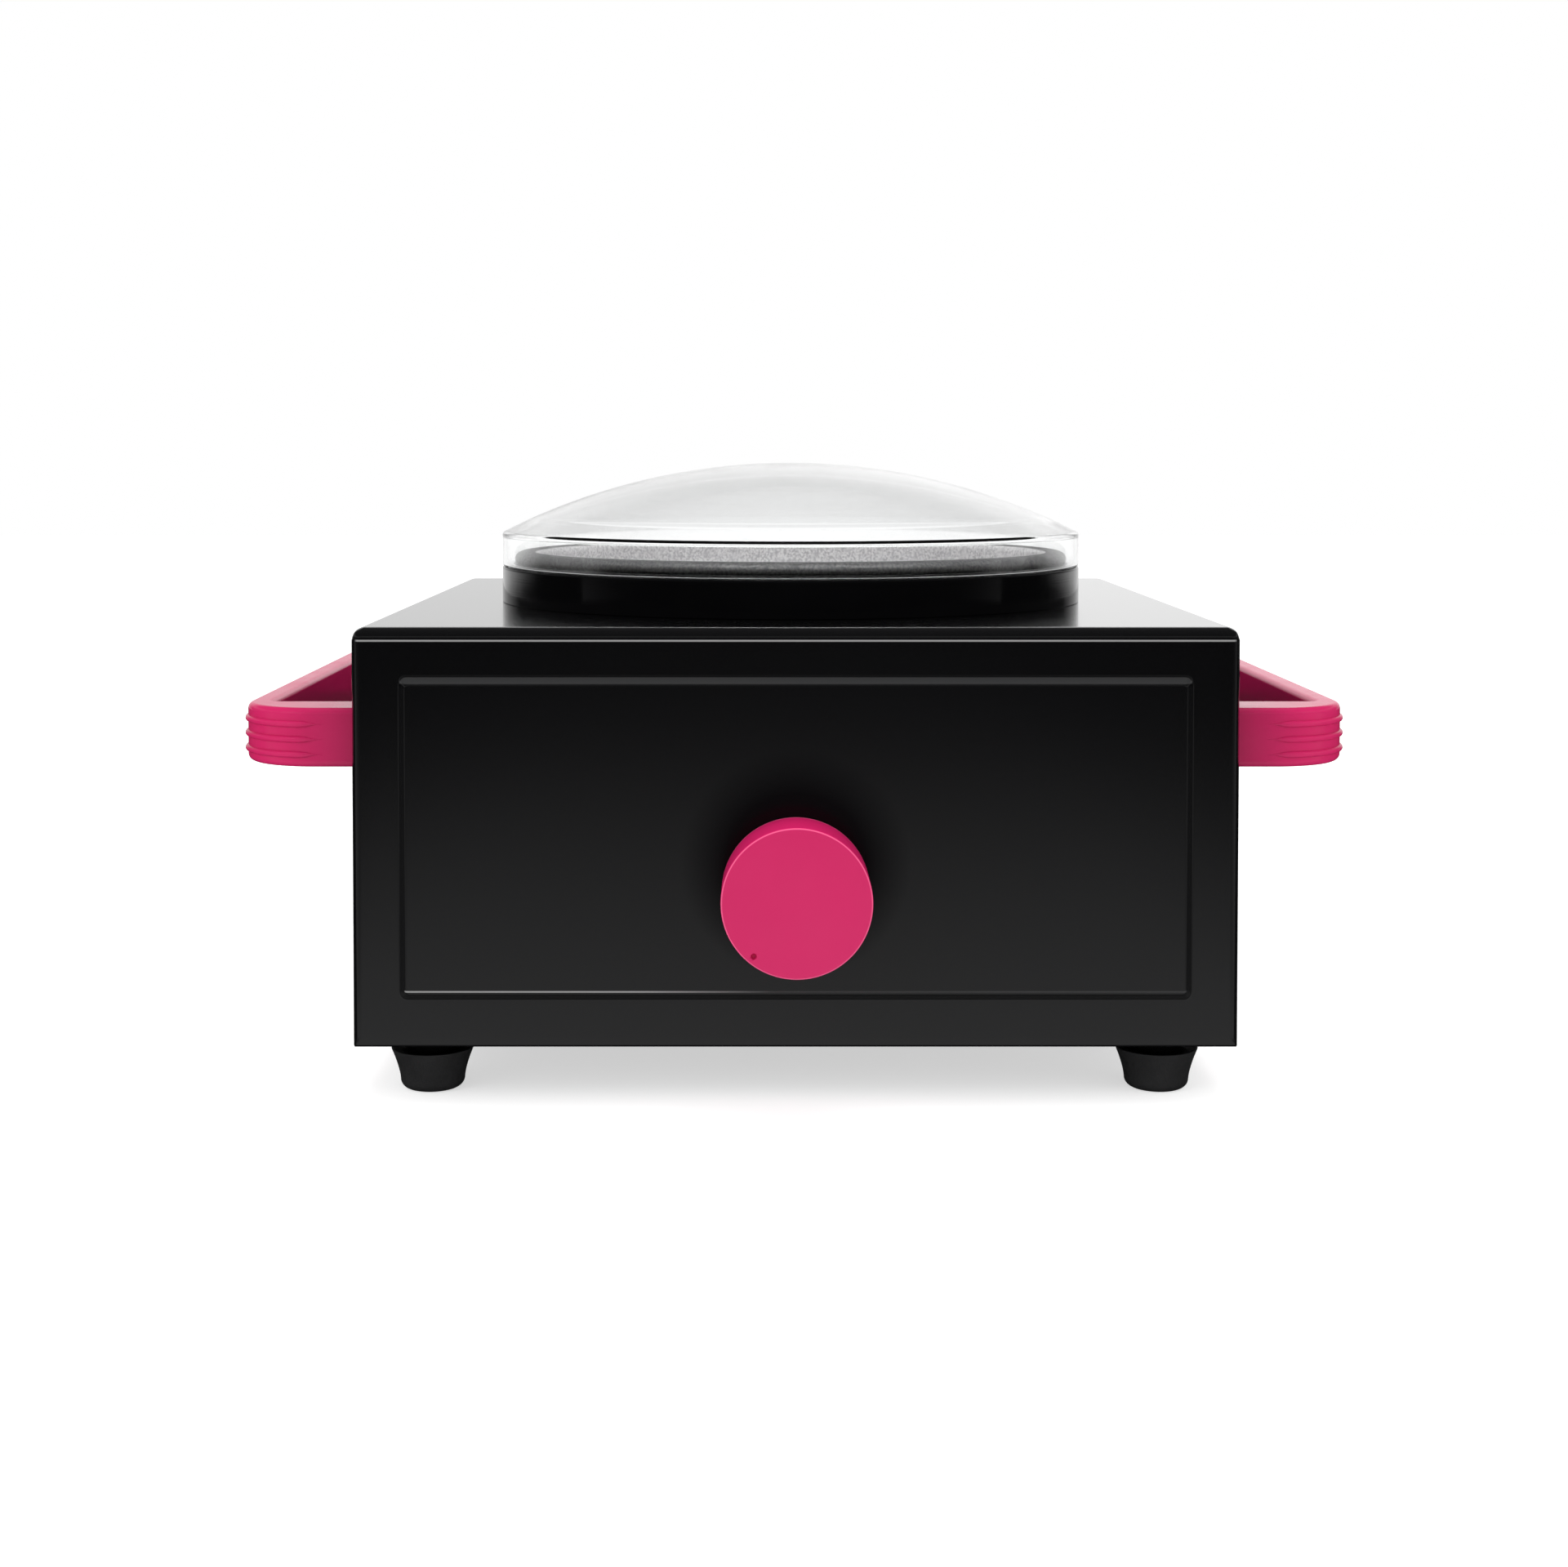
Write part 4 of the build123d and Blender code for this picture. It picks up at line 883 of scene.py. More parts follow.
def cut_out(piece, tools):
    """A piece with the shapes of its tools taken out of it. The tools are used up."""
    for tool in tools:
        cut = piece.modifiers.new(tool.name, "BOOLEAN")
        cut.operation = "DIFFERENCE"
        cut.object = tool
        cut.solver = "EXACT"
    piece = baked(piece, piece.name)
    for tool in tools:
        bpy.data.objects.remove(tool)
    return piece


knob_h = knob_high.y - knob_low.y
cap_h = knob_h - KNOB_CAP
# Local height runs out of the front, from the knob's back.
KNOB_PLACE = Matrix.Translation((0, knob_high.y, KNOB_Z)) @ Matrix.Rotation(pi / 2, 4, "X")
knob_outline = rounded(
    [
        (0, cap_h),
        (SHAFT_R, cap_h),
        (SHAFT_R, HUB_RISE),
        (HUB_R, HUB_RISE),
        (HUB_R, cap_h),
        (KNOB_R - KNOB_WALL, cap_h),
        (KNOB_R - KNOB_WALL, 0),
        (KNOB_R, 0),
        (KNOB_R, knob_h),
        (0, knob_h),
    ],
    [0, 0, 0.0003, 0.0003, 0.0005, 0.0005, 0.0003, 0.0004, KNOB_ROUND, 0],
)
knob = turned("pink_knob", knob_outline, pink_plastic, steps=200, place=KNOB_PLACE)
dot_work = bmesh.new()
bmesh.ops.create_uvsphere(dot_work, u_segments=24, v_segments=12, radius=DOT_R)
dot_at = (DOT_AT * sin(DOT_TURN), DOT_AT * cos(DOT_TURN), knob_h - DOT_R * DOT_SINK)
bmesh.ops.translate(dot_work, verts=dot_work.verts, vec=KNOB_PLACE @ Vector(dot_at))
knob = settle(cut_out(knob, [from_work("dot", dot_work)]))
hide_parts("control_knob")
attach(knob, "control")

# %% [markdown]
# Each foot is a rubber plug: a neck against the base, a wide shoulder, a hollow flank that narrows
# towards the floor, and a generous round at the tread. The screw sits in a deep hole from below.
# The flank's radius follows a power of the height, so it flares most just under the shoulder.

# %% Feet
FOOT_LOW_R = 0.0089
NECK_R = 0.0080
NECK_H = 0.0035
FLARE_POWER = 1.45
TREAD_ROUND = 0.0025
FOOT_BORE = 0.0023
FOOT_SINK_R = 0.0041
FOOT_SINK = 0.005
FLARE_STEPS = 10

foot_low, foot_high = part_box("foot_front_left")
foot_r = (foot_high.x - foot_low.x) / 2
foot_h = foot_high.z
shoulder_z = foot_h - NECK_H
flare = []
for k in range(FLARE_STEPS + 1):
    up = 1 - k / FLARE_STEPS
    height = TREAD_ROUND + (shoulder_z - TREAD_ROUND) * up
    flare.append((FOOT_LOW_R + (foot_r - FOOT_LOW_R) * up**FLARE_POWER, height))
bore_top = (FOOT_BORE, FOOT_SINK)
tread = rounded(
    [flare[-1], (FOOT_LOW_R, 0), (FOOT_SINK_R, 0), (FOOT_SINK_R, FOOT_SINK), bore_top],
    [0, TREAD_ROUND, 0.0003, 0, 0],
    steps=8,
)
rim = rounded(
    [bore_top, (FOOT_BORE, foot_h), (NECK_R, foot_h), (NECK_R, shoulder_z), flare[0], flare[1]],
    [0, 0, 0.0002, 0.0005, 0.0003, 0],
    steps=4,
)
foot_outline = rim[:-1] + flare[1:] + tread[1:-1]
for name in ("foot_front_left", "foot_front_right", "foot_rear_left", "foot_rear_right"):
    low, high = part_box(name)
    stand = Matrix.Translation(((low.x + high.x) / 2, (low.y + high.y) / 2, 0))
    foot_piece = turned(
        f"rubber_{name}", foot_outline, black_rubber, steps=72, closed=True, place=stand
    )
    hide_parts(name)
    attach(foot_piece, "housing")

# %% [markdown]
# The cover is one folded sheet with a raised panel pressed into its front. The box could be cut
# from solids, but the lit edges would then be hard to control. Here it is a plain open box of
# big faces. The panel is a stack of nested rounded rectangles that follows the press tool's
# profile: a hollow round at its foot, a slope, and a round at its crown. Its corners stay tight,
# as pressed corners in thin sheet do when the tool is cut square.

# %% Cover: the plain box and its pressed panel
LIP_W = 0.012
PANEL_CORNER = 0.0022
CROWN_CORNER = 0.0011
FOOT_ROUND = 0.0006
CROWN_ROUND = 0.0008
RUN_OUT = 0.003
CORNER_STEPS = 6

panel_w = 2 * (WALL_X - PANEL_BORDER)
panel_h = TOP_Z - BASE_Z - 2 * PANEL_BORDER
panel_z = (TOP_Z + BASE_Z) / 2
half_depth = (REAR_Y - FRONT_Y) / 2
cover_work = bmesh.new()


def box_ring(width, depth, z):
    """Four corners of the box at a height, counted from the front left."""
    places = [(-width, -depth), (width, -depth), (width, depth), (-width, depth)]
    return [cover_work.verts.new((x, MIDDLE_Y + y, z)) for x, y in places]


def panel_ring(inset, rise):
    """A rounded rectangle in front of the wall, inside the panel's edge by an inset."""
    w, h = panel_w / 2 - inset, panel_h / 2 - inset
    corner = PANEL_CORNER - (PANEL_CORNER - CROWN_CORNER) * inset / PANEL_BEVEL
    square = [(w, h), (-w, h), (-w, -h), (w, -h)]
    ring = rounded(square, [corner] * 4, steps=CORNER_STEPS, closed=True)
    return [cover_work.verts.new((x, FRONT_Y - rise, panel_z + z)) for x, z in ring]


lip_ring = box_ring(WALL_X - LIP_W, half_depth - LIP_W, BASE_Z)
low_ring = box_ring(WALL_X, half_depth, BASE_Z)
high_ring = box_ring(WALL_X, half_depth, TOP_Z)
for k in range(4):
    after = (k + 1) % 4
    cover_work.faces.new((lip_ring[after], lip_ring[k], low_ring[k], low_ring[after]))
    if k:
        cover_work.faces.new((low_ring[k], low_ring[after], high_ring[after], high_ring[k]))
cover_work.faces.new(high_ring)

slope = [(0, 0), (PANEL_BEVEL, PANEL_RAISE)]
press = rounded(
    [(-RUN_OUT, 0), *slope, (PANEL_BEVEL + RUN_OUT, PANEL_RAISE)],
    [0, FOOT_ROUND, CROWN_ROUND, 0],
    steps=5,
)
panel_rings = [panel_ring(inset, rise) for inset, rise in press[1:-1]]
cover_work.faces.new(panel_rings[-1])
count = len(panel_rings[0])
for lower, upper in zip(panel_rings, panel_rings[1:]):
    for k in range(count):
        after = (k + 1) % count
        cover_work.faces.new((upper[k], upper[after], lower[after], lower[k]))
# The border is four faces: each takes one edge of the box and a quarter of the panel's ring.
box_corners = [high_ring[1], high_ring[0], low_ring[0], low_ring[1]]
quarter = count // 4
for k in range(4):
    start = k * quarter + CORNER_STEPS // 2
    stretch = [panel_rings[0][(start + j) % count] for j in range(quarter + 1)]
    cover_work.faces.new([box_corners[k], *stretch, box_corners[(k + 1) % 4]])
bmesh.ops.recalc_face_normals(cover_work, faces=cover_work.faces)
print("cover faces", len(cover_work.faces), "points round the panel", count)

# %% [markdown]
# A bevel with a weight per edge folds the sheet: box edges have the full fold radius, the lip a
# smaller one. Then the sheet gets its thickness inwards, and the holes are cut last, as a press
# would pierce them through the finished wall.

# %% Cover: folds, thickness and holes
SHEET = 0.001
LIP_FOLD = 0.2
WELL_HOLE_R = 0.0845
SHAFT_HOLE_R = 0.0053
GLAND_HOLE_R = 0.0071
HOLE_STEPS = 128
PUNCH_DEPTH = 0.01

weight = cover_work.edges.layers.float.new("bevel_weight_edge")
low_corners, high_corners = set(low_ring), set(high_ring)
for edge in cover_work.edges:
    ends = set(edge.verts)
    if ends <= high_corners or (ends & low_corners and ends & high_corners):
        edge[weight] = 1.0
    elif ends <= low_corners:
        edge[weight] = LIP_FOLD
cover = from_work("steel_cover", cover_work)
cover.data.materials.append(black_paint)

fold = cover.modifiers.new("fold", "BEVEL")
fold.limit_method = "WEIGHT"
fold.width = FOLD_R
fold.segments = 6
fold.use_clamp_overlap = False
wall = cover.modifiers.new("sheet", "SOLIDIFY")
wall.thickness = SHEET
wall.offset = -1
wall.use_even_offset = True


def punch(name, radius, depth, place):
    """A round punch for a hole in the sheet."""
    work = bmesh.new()
    sizes = {"radius1": radius, "radius2": radius, "depth": depth, "segments": HOLE_STEPS}
    bmesh.ops.create_cone(work, cap_ends=True, matrix=place, **sizes)
    return from_work(name, work)


gland_low, gland_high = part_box("cord_gland")
gland_x = (gland_low.x + gland_high.x) / 2
gland_z = (gland_low.z + gland_high.z) / 2
across = Matrix.Rotation(pi / 2, 4, "X")
at_well = Matrix.Translation((0, MIDDLE_Y, TOP_Z))
at_shaft = Matrix.Translation((0, CROWN_Y, KNOB_Z)) @ across
at_gland = Matrix.Translation((gland_x, REAR_Y, gland_z)) @ across
punches = [
    punch("well_hole", WELL_HOLE_R, PUNCH_DEPTH, at_well),
    punch("shaft_hole", SHAFT_HOLE_R, 2 * PUNCH_DEPTH, at_shaft),
    punch("gland_hole", GLAND_HOLE_R, PUNCH_DEPTH, at_gland),
]
cover = settle(cut_out(cover, punches))
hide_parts("body_shell")
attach(cover, "housing")

# %% [markdown]
# A handle is a flat loop: two wide arms on the wall and a slim grip between them. Its outer edge
# turns a large round, its finger gap a small one, and all long edges are eased. It is built as a
# section that runs along the loop. At each station the section's outer end follows the outer
# outline and its inner end the gap, so both outlines stay true.

# %% Handles
HANDLE_ROUND = 0.0018
OUTER_CORNER = 0.022
GAP_CORNER = 0.003
GRIP_W = 0.007
GAP_LENGTH = 0.174
RIB_RAISE = 0.0008
STRAIGHT_STEPS = 8
TURN_STEPS = 18
EASE_STEPS = 5

handle_low, handle_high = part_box("handle_right")
handle_reach = handle_high.x - RIB_RAISE
handle_half = (handle_high.y - handle_low.y) / 2 - RIB_RAISE


def loop_path(reach, half, corner):
    """Places along one outline of the handle and the ways it faces, from the front root on."""
    stations = []
    turn_x = reach - corner
    turn_y = half - corner
    for k in range(STRAIGHT_STEPS):
        share = k / STRAIGHT_STEPS
        stations.append((WALL_X + (turn_x - WALL_X) * share, -half, 0, -1))
    for k in range(TURN_STEPS + 1):
        turn = pi / 2 * k / TURN_STEPS
        x, y = sin(turn), -cos(turn)
        stations.append((turn_x + corner * x, -turn_y + corner * y, x, y))
    mirrored = [(x, -y, nx, -ny) for x, y, nx, ny in stations[::-1]]
    for k in range(1, 2 * STRAIGHT_STEPS):
        share = k / (2 * STRAIGHT_STEPS)
        stations.append((reach, -turn_y + 2 * turn_y * share, 1, 0))
    return stations + mirrored


def section(outer, inner):
    """The closed section between an outer and an inner station, with eased corners."""
    ring = []
    turns = [pi / 2 * k / EASE_STEPS for k in range(EASE_STEPS + 1)]
    corners = ((outer, 1, 1), (outer, 1, -1), (inner, -1, -1), (inner, -1, 1))
    for (x, y, nx, ny), way, side in corners:
        edge_z = handle_high.z if side == 1 else handle_low.z
        for turn in turns if way == side else turns[::-1]:
            back = HANDLE_ROUND * (1 - sin(turn)) * way
            down = HANDLE_ROUND * (1 - cos(turn)) * side
            ring.append((x - nx * back, MIDDLE_Y + y - ny * back, edge_z - down))
    return ring


outer_path = loop_path(handle_reach, handle_half, OUTER_CORNER)
inner_path = loop_path(handle_reach - GRIP_W, GAP_LENGTH / 2, GAP_CORNER)


def make_handle(name, side):
    """The loop on one side of the box; side is 1 on the right and -1 on the left."""
    work = bmesh.new()
    previous = None
    for outer, inner in zip(outer_path, inner_path):
        ring = [work.verts.new((side * x, y, z)) for x, y, z in section(outer, inner)]
        if previous:
            for k in range(len(ring)):
                after = (k + 1) % len(ring)
                work.faces.new((previous[k], previous[after], ring[after], ring[k]))
        else:
            work.faces.new(ring[::-1])
        previous = ring
    work.faces.new(previous)
    piece = from_work(name, work)
    piece.data.materials.append(pink_plastic)
    return settle(piece)


SIDES = {"left": -1, "right": 1}
for word, side in SIDES.items():
    piece = make_handle(f"pink_handle_{word}", side)
    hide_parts(f"handle_{word}")
    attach(piece, "housing")

# %% [markdown]
# Three slim ribs wrap round the outer face of each handle, so that a damp hand doesn't slip. They
# repeat and they follow a path, so Geometry Nodes make them. A flattened circle is swept along
# the handle's own outline, thinned out at both ends, and stacked by a given pitch.

# %% The rib tree
RIB_TAPER = 0.03

rib_tree, rib_inputs, rib_in = tree_with(
    "grip_ribs", Count="Int", Pitch="Float", Half_Height="Float", Raise="Float", Finish="Material"
)
along = add(rib_tree, "GeometryNodeSplineParameter").outputs["Factor"]
taper = above(work_out("PINGPONG", along, 0.5), 0.0, RIB_TAPER)
taper.node.interpolation_type = "SMOOTHERSTEP"
thin = add(rib_tree, "GeometryNodeSetCurveRadius")
upright = add(rib_tree, "GeometryNodeSetCurveNormal", mode="Z_UP")
sweep = add(rib_tree, "GeometryNodeCurveToMesh", Fill_Caps=True)
link(taper, thin.inputs["Radius"])
link(add(rib_tree, "GeometryNodeInputRadius").outputs["Radius"], sweep.inputs["Scale"])
chain(rib_in, thin, upright, sweep)

circle = add(rib_tree, "GeometryNodeCurvePrimitiveCircle", Resolution=14, Radius=1.0)
flatten = add(rib_tree, "ShaderNodeCombineXYZ", Z=1.0)
shaped = add(rib_tree, "GeometryNodeTransform")
link(rib_in.outputs["Raise"], flatten.inputs["X"])
link(rib_in.outputs["Half Height"], flatten.inputs["Y"])
link(flatten.outputs["Vector"], shaped.inputs["Scale"])
chain(circle, shaped)
link(shaped.outputs["Geometry"], sweep.inputs["Profile Curve"])

step_up = add(rib_tree, "ShaderNodeCombineXYZ")
stack = add(rib_tree, "GeometryNodeMeshLine")
stacked = add(rib_tree, "GeometryNodeInstanceOnPoints")
link(rib_in.outputs["Count"], stack.inputs["Count"])
link(rib_in.outputs["Pitch"], step_up.inputs["Z"])
link(step_up.outputs["Vector"], stack.inputs["Offset"])
link(sweep.outputs["Mesh"], stacked.inputs["Instance"])
chain(stack, stacked)
end_tree(rib_in, stacked)

# %% [markdown]
# The path starts a centimetre from the wall, as the ribs do, and stays on the handle's face. The
# lowest rib sits at the path's height, and the others stand above it at the pitch.

# %% Grip ribs
RIB_COUNT = 3
RIB_PITCH = 0.0042
RIB_DROP = 0.00045
RIB_HALF = 0.0009
RIB_START = 0.010

rib_low_z = (handle_low.z + handle_high.z) / 2 - RIB_DROP - RIB_PITCH * (RIB_COUNT - 1) / 2
rib_sizes = {"Count": RIB_COUNT, "Pitch": RIB_PITCH, "Half_Height": RIB_HALF, "Raise": RIB_RAISE}


def rib_path(name, side):
    """The handle's outer outline as a curve, without the stretch next to the wall."""
    start_x = WALL_X + RIB_START
    places = [(x, y) for x, y, _, _ in outer_path if x > start_x]
    places = [(start_x, places[0][1]), *places, (start_x, places[-1][1])]
    return run_curve(name, [(side * x, MIDDLE_Y + y, rib_low_z) for x, y in places])


for word, side in SIDES.items():
    name = f"grip_ribs_{word}"
    ribs = grown(
        rib_path(name, side), name, rib_tree, rib_inputs, Finish=pink_plastic, **rib_sizes
    )
    ribs = settle(ribs)
    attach(ribs, "housing")

# %% [markdown]
# The cord gland at the back is a plastic bush: a flange on the wall, a tapered nose that keeps the
# cord from kinking, and a barrel through the wall. It is one more turned piece, laid on its side.
# The ribs of the nose are small rings cut into its taper.

# %% Cord gland
GLAND_BORE = 0.0036
GLAND_BARREL = 0.0068
GLAND_FLANGE = 0.0095
GLAND_FLANGE_T = 0.003
NOSE_R = 0.006
NOSE_RINGS = 4
RING_CUT = 0.0007
# Along one ring: where the taper runs, where the cut starts, and where it ends.
RING_STEPS = ((0.0, 0.0), (0.62, 0.0), (0.66, RING_CUT), (0.96, RING_CUT))

gland_length = gland_high.y - gland_low.y
gland_tail = REAR_Y - gland_low.y
flange_end = gland_tail + GLAND_FLANGE_T
nose_length = gland_high.y - REAR_Y - GLAND_FLANGE_T
nose = []
for k in range(NOSE_RINGS):
    for share, depth in RING_STEPS:
        along_nose = (k + share) / NOSE_RINGS
        radius = GLAND_BARREL + (NOSE_R - GLAND_BARREL) * along_nose - depth
        nose.append((radius, flange_end + nose_length * along_nose))
flange_corners = [
    (GLAND_BARREL, gland_tail),
    (GLAND_FLANGE, gland_tail),
    (GLAND_FLANGE, flange_end),
    (GLAND_BARREL, flange_end),
]
gland_outline = [
    (GLAND_BORE, 0),
    (GLAND_BARREL, 0),
    (GLAND_BARREL, gland_tail),
    *rounded(flange_corners, [0, 0.0002, 0.0008, 0], steps=4)[1:-1],
    *nose,
    (NOSE_R, gland_length),
    (GLAND_BORE, gland_length),
]
at_wall = Matrix.Translation((gland_x, gland_low.y, gland_z)) @ Matrix.Rotation(-pi / 2, 4, "X")
gland = turned(
    "cord_gland_bush", gland_outline, black_plastic, steps=72, closed=True, place=at_wall
)
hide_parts("cord_gland")
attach(gland, "housing")

# %% [markdown]
# From below the warmer shows its screws: eight small ones round the base and one deep in each
# foot. A pan head with a cross recess is modelled once, then Geometry Nodes put a copy on every
# point of a small mesh, turned by a random angle, as screws end up at any angle.

# %% The screw tree
screw_tree, screw_inputs, screw_in = tree_with(
    "screw_heads", Screw="Object", Seed="Int", Finish="Material"
)
screw_shape = add(screw_tree, "GeometryNodeObjectInfo")
angle = add(screw_tree, "FunctionNodeRandomValue", data_type="FLOAT", Max=2 * pi)
spin = add(screw_tree, "ShaderNodeCombineXYZ")
set_screws = add(screw_tree, "GeometryNodeInstanceOnPoints")
link(screw_in.outputs["Screw"], screw_shape.inputs["Object"])
link(screw_in.outputs["Seed"], angle.inputs["Seed"])
link(angle.outputs["Value"], spin.inputs["Z"])
link(screw_shape.outputs["Geometry"], set_screws.inputs["Instance"])
link(spin.outputs["Vector"], set_screws.inputs["Rotation"])
chain(screw_in, set_screws)
end_tree(screw_in, set_screws)

# %% [markdown]
# The head is turned on the same lathe, and two crossed slots are cut into it. It looks down, so
# its crown is the lowest point and its shank runs up. The places of the screws are the middles of
# the loose solids in the construction node that they replace.

# %% Screws under the base
CROWN_EASE, SEAT_EASE, TIP_EASE = 0.6, 0.1, 0.3
# The slots' length and width as shares of the head's radius, and their depth of its height.
SLOT_LENGTH, SLOT_WIDTH, SLOT_DEPTH = 1.2, 0.24, 1.1
LOOSE_CORNERS = 0.000001


def cross_screw(head_r, head_h, shank_r, shank_length):
    """A pan-head screw with a cross recess, head down, with its seat at the origin."""
    head = [(0, -head_h), (head_r, -head_h), (head_r, 0)]
    shank = [(shank_r, 0), (shank_r, shank_length), (0, shank_length)]
    radii = [0, head_h * CROWN_EASE, head_h * SEAT_EASE, 0, shank_r * TIP_EASE, 0]
    outline = rounded(head + shank, radii)
    slot_size = Matrix.Diagonal(
        (head_r * SLOT_LENGTH, head_r * SLOT_WIDTH, head_h * SLOT_DEPTH, 1)
    )
    slots = []
    for turn in (0, pi / 2):
        work = bmesh.new()
        bmesh.ops.create_cube(work, size=1)
        place = Matrix.Translation((0, 0, -head_h)) @ Matrix.Rotation(turn, 4, "Z") @ slot_size
        bmesh.ops.transform(work, verts=work.verts, matrix=place)
        slots.append(from_work("slot", work))
    return cut_out(turned("screw", outline, screw_steel, steps=40), slots)


def solids_of(node):
    """The boxes of the loose solids of a construction node, by walking its connected faces."""
    work = bmesh.new()
    work.from_mesh(frame["nodes"][node].data)
    bmesh.ops.remove_doubles(work, verts=work.verts, dist=LOOSE_CORNERS)
    seen, boxes = set(), []
    for first in work.verts:
        if first in seen:
            continue
        group, todo = [], [first]
        seen.add(first)
        while todo:
            here = todo.pop()
            group.append(here.co.copy())
            for edge in here.link_edges:
                other = edge.other_vert(here)
                if other not in seen:
                    seen.add(other)
                    todo.append(other)
        boxes.append((Vector(map(min, zip(*group))), Vector(map(max, zip(*group)))))
    work.free()
    return boxes


def set_of_screws(name, node, seat_z, head_h, shank_r, seed):
    """One mesh of detailed screws in the places of a node of plain ones."""
    found = solids_of(node)
    low, high = found[0]
    screw = cross_screw((high.x - low.x) / 2, head_h, shank_r, high.z - seat_z)
    middles = [(low + high) / 2 for low, high in found]
    places = bpy.data.meshes.new(name)
    places.from_pydata([(middle.x, middle.y, seat_z) for middle in middles], [], [])
    piece = grown(
        placed(name, places), name, screw_tree, screw_inputs,
        Screw=screw, Seed=seed, Finish=screw_steel,
    )
    piece = settle(piece)
    bpy.data.objects.remove(screw)
    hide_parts(node)
    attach(piece, "housing")


base_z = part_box("base_plate")[0].z
base_sizes = {"seat_z": base_z, "head_h": 0.0005, "shank_r": 0.0014}
foot_sizes = {"seat_z": FOOT_SINK, "head_h": 0.0024, "shank_r": 0.0020}
set_of_screws("base_cross_screws", "base_screws", seed=3, **base_sizes)
set_of_screws("foot_cross_screws", "foot_screws", seed=8, **foot_sizes)

# %% [markdown]
# The object stands on a plain white floor. For the camera the floor is lifted to white by a little
# glow, so the soft shadow under the box stays. In the black gloss the floor must look darker
# and fade out to the front, as a studio floor does, and that is given to glossy rays only. In
# mirrors it also dims beside the box and under its front edge, and is white again far behind it.

# %% Floor
FLOOR_HALF = 4.0
FLOOR_COLOUR = (0.82, 0.82, 0.82, 1)
FLOOR_LIFT = 0.57
WHITE = (1.0, 1.0, 1.0)
MIRROR_FADE, MIRROR_POWER = (-1.25, -0.17), 1.8
MIRROR_GLOW = (0.03, 0.48)
UNDER_EDGE, UNDER_SHADE = (-0.130, -0.122), 0.04
BESIDE_BOX, BESIDE_SHADE = (0.14, 0.24), 0.6
FAR_BEHIND = (1.3, 2.1)


def shader_mix(share, first, second):
    """A mix of two shaders by a share."""
    mix = add(share.id_data, "ShaderNodeMixShader")
    for source, socket in zip((share, first, second), mix.inputs):
        link(source, socket)
    return mix.outputs["Shader"]


ways_out = [(-1, -1), (1, -1), (1, 1), (-1, 1)]
floor_corners = [(x * FLOOR_HALF, y * FLOOR_HALF, 0) for x, y in ways_out]
floor_mesh = bpy.data.meshes.new("studio_floor")
floor_mesh.from_pydata(floor_corners, [], [(0, 1, 2, 3)])
floor = placed("studio_floor", floor_mesh)
floor_finish = bpy.data.materials.new("studio_floor")
floor_finish.use_nodes = True
floor_finish.node_tree.nodes.clear()
floor_mesh.materials.append(floor_finish)

floor_at = axes_of(add(floor_finish, "ShaderNodeTexCoord").outputs["Object"])
nearness = between(floor_at["Y"], *MIRROR_FADE, 0.0, 1.0)
fade = between(work_out("POWER", nearness, MIRROR_POWER), 0.0, 1.0, *MIRROR_GLOW)
under = between(floor_at["Y"], *UNDER_EDGE, 1.0, UNDER_SHADE)
beside = between(work_out("ABSOLUTE", floor_at["X"]), *BESIDE_BOX, 1.0, BESIDE_SHADE)
past = between(floor_at["Y"], *FAR_BEHIND, 0.0, 1.0)
mirror_glow = add(floor_finish, "ShaderNodeEmission", Color=(*WHITE, 1))
link(work_out("ADD", times(fade, beside, under), past), mirror_glow.inputs["Strength"])

diffuse = add(floor_finish, "ShaderNodeBsdfDiffuse", Color=FLOOR_COLOUR).outputs["BSDF"]
glow = add(floor_finish, "ShaderNodeEmission", Color=(*WHITE, 1), Strength=FLOOR_LIFT)
lifted = add(floor_finish, "ShaderNodeAddShader")
link(diffuse, lifted.inputs[0])
link(glow.outputs["Emission"], lifted.inputs[1])
ray = add(floor_finish, "ShaderNodeLightPath").outputs
seen = shader_mix(ray["Is Camera Ray"], diffuse, lifted.outputs["Shader"])
seen = shader_mix(ray["Is Glossy Ray"], seen, mirror_glow.outputs["Emission"])
link(seen, add(floor_finish, "ShaderNodeOutputMaterial").inputs["Surface"])
print("floor made")

# %% [markdown]
# The surroundings are a studio. Most of the light is an even white from all round, which renders
# each colour about as it is written. Mirrors see more structure: white low down behind the object,
# a dim ceiling, and in front a dark room with one long bright strip just above the camera. The
# strip draws the thin bright lines on folds and rims. Seen through the clear lid, everything behind
# the object is plain white.

# %% Surroundings
AMBIENT = (0.8, 0.8, 0.8)
THROUGH = (1.2, 1.2, 1.2)
# Brightness at each height of the direction, from 0 straight down to 1 straight up.
THROUGH_FRONT = [(0.0, 0.05), (0.66, 0.06), (0.76, 4.0), (1.0, 4.0)]
BEHIND = [(0.0, 0.9), (0.50, 1.0), (0.68, 1.0), (0.78, 0.5), (0.88, 0.08), (1.0, 0.08)]
IN_FRONT = [(0.0, 0.02), (0.50, 0.03), (0.60, 0.06), (0.66, 0.5), (0.72, 0.06), (1.0, 0.08)]
SHADE_TURN = (-0.10, 0.06)
LEFT_SHADE, RIGHT_SHADE = 0.86, 1.08
MIRROR_TURN = (0.70, 0.95)
THROUGH_TURN = (-0.25, 0.05)

world = bpy.data.worlds.new("studio")
world.use_nodes = True
world.node_tree.nodes.clear()
bpy.context.scene.world = world
way = axes_of(add(world, "ShaderNodeTexCoord").outputs["Generated"])
height = between(way["Z"], -1.0, 1.0, 0.0, 1.0)


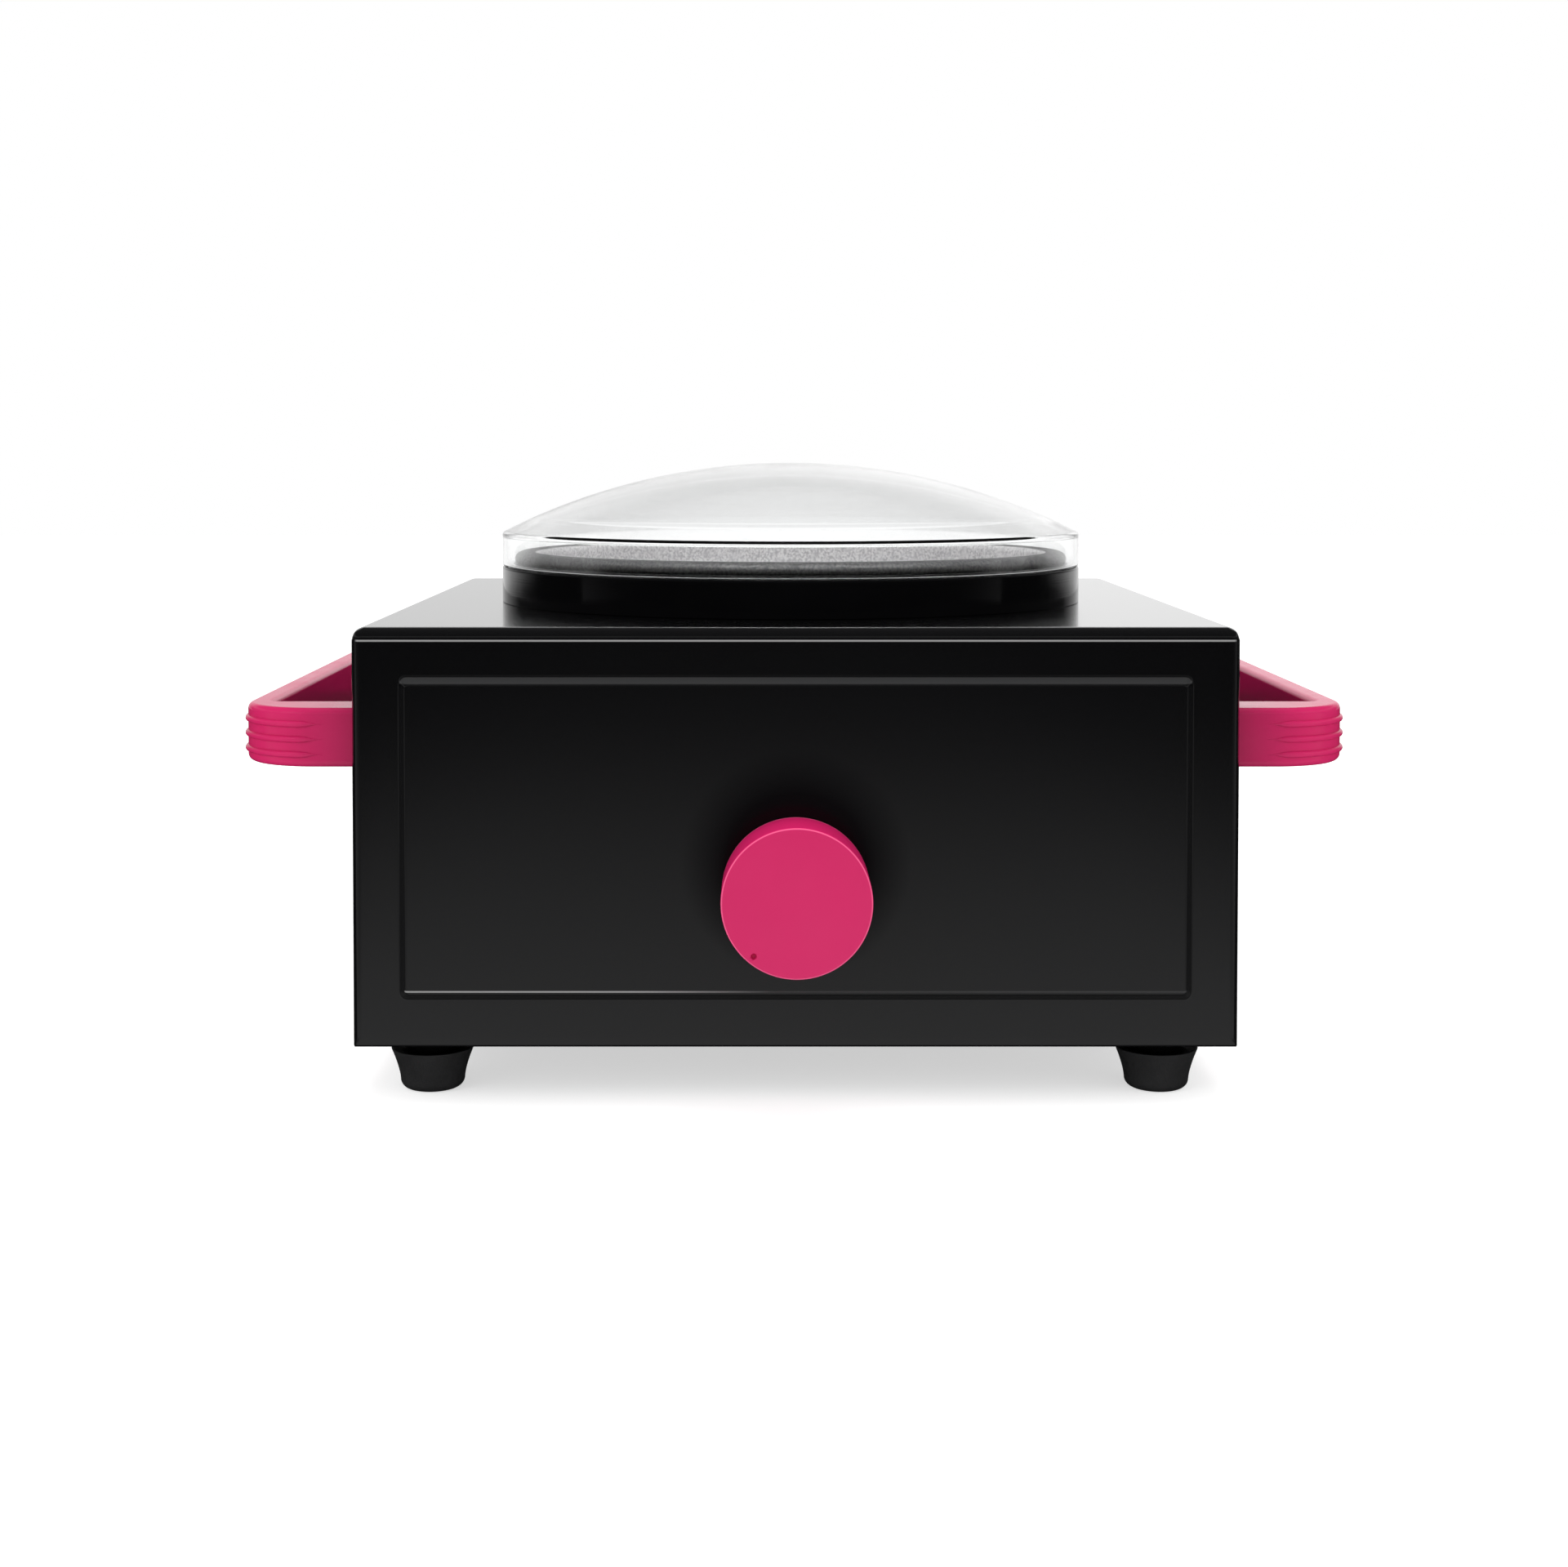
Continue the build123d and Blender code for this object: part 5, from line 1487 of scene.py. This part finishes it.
def by_height(stops):
    """A brightness that changes with the height of the direction."""
    ramp = add(world, "ShaderNodeValToRGB")
    ramp.color_ramp.interpolation = "EASE"
    elements = ramp.color_ramp.elements
    while len(elements) < len(stops):
        elements.new(0.5)
    for element, (place, value) in zip(elements, stops):
        element.position = place
        element.color = (value, value, value, 1)
    link(height, ramp.inputs["Fac"])
    return ramp.outputs["Color"]


sideways = between(way["X"], *SHADE_TURN, LEFT_SHADE, RIGHT_SHADE)
to_back = between(way["Y"], *MIRROR_TURN, 0.0, 1.0)
mirrored = mixed(to_back, by_height(IN_FRONT), scaled(by_height(BEHIND), sideways))
past_front = between(way["Y"], *THROUGH_TURN, 0.0, 1.0)
through = mixed(past_front, by_height(THROUGH_FRONT), THROUGH)
ray = add(world, "ShaderNodeLightPath").outputs
shown = mixed(ray["Is Glossy Ray"], AMBIENT, mirrored)
shown = mixed(ray["Is Transmission Ray"], shown, through)
shown = mixed(ray["Is Camera Ray"], shown, WHITE)
light = add(world, "ShaderNodeBackground")
link(shown, light.inputs["Color"])
link(light.outputs["Background"], add(world, "ShaderNodeOutputWorld").inputs["Surface"])
print("surroundings made")

# %% [markdown]
# Three large soft lamps model the shape: one above, one from the front left and a weaker one
# from the right. They are broad, so the shadow stays soft and close to the box.

# %% Lamps
LAMP_AIM = Vector((0, MIDDLE_Y, 0.08))


def soft_lamp(name, place, size, power):
    """A square area lamp that looks at the middle of the object."""
    data = bpy.data.lights.new(name, "AREA")
    data.size = size
    data.energy = power
    lamp = placed(name, data)
    lamp.location = place
    lamp.rotation_euler = (LAMP_AIM - Vector(place)).to_track_quat("-Z", "Y").to_euler()
    lamp.visible_glossy = False
    lamp.visible_transmission = False


soft_lamp("lamp_above", (0.1, 0.2, 1.6), 1.2, 9)
soft_lamp("lamp_left", (-1.3, -1.1, 0.9), 0.9, 7)
soft_lamp("lamp_right", (1.5, -0.7, 0.7), 0.9, 4)

# %% [markdown]
# The view transform is Standard, so that a colour shows as it was written.

# %% Finish
bpy.context.scene.view_settings.view_transform = "Standard"
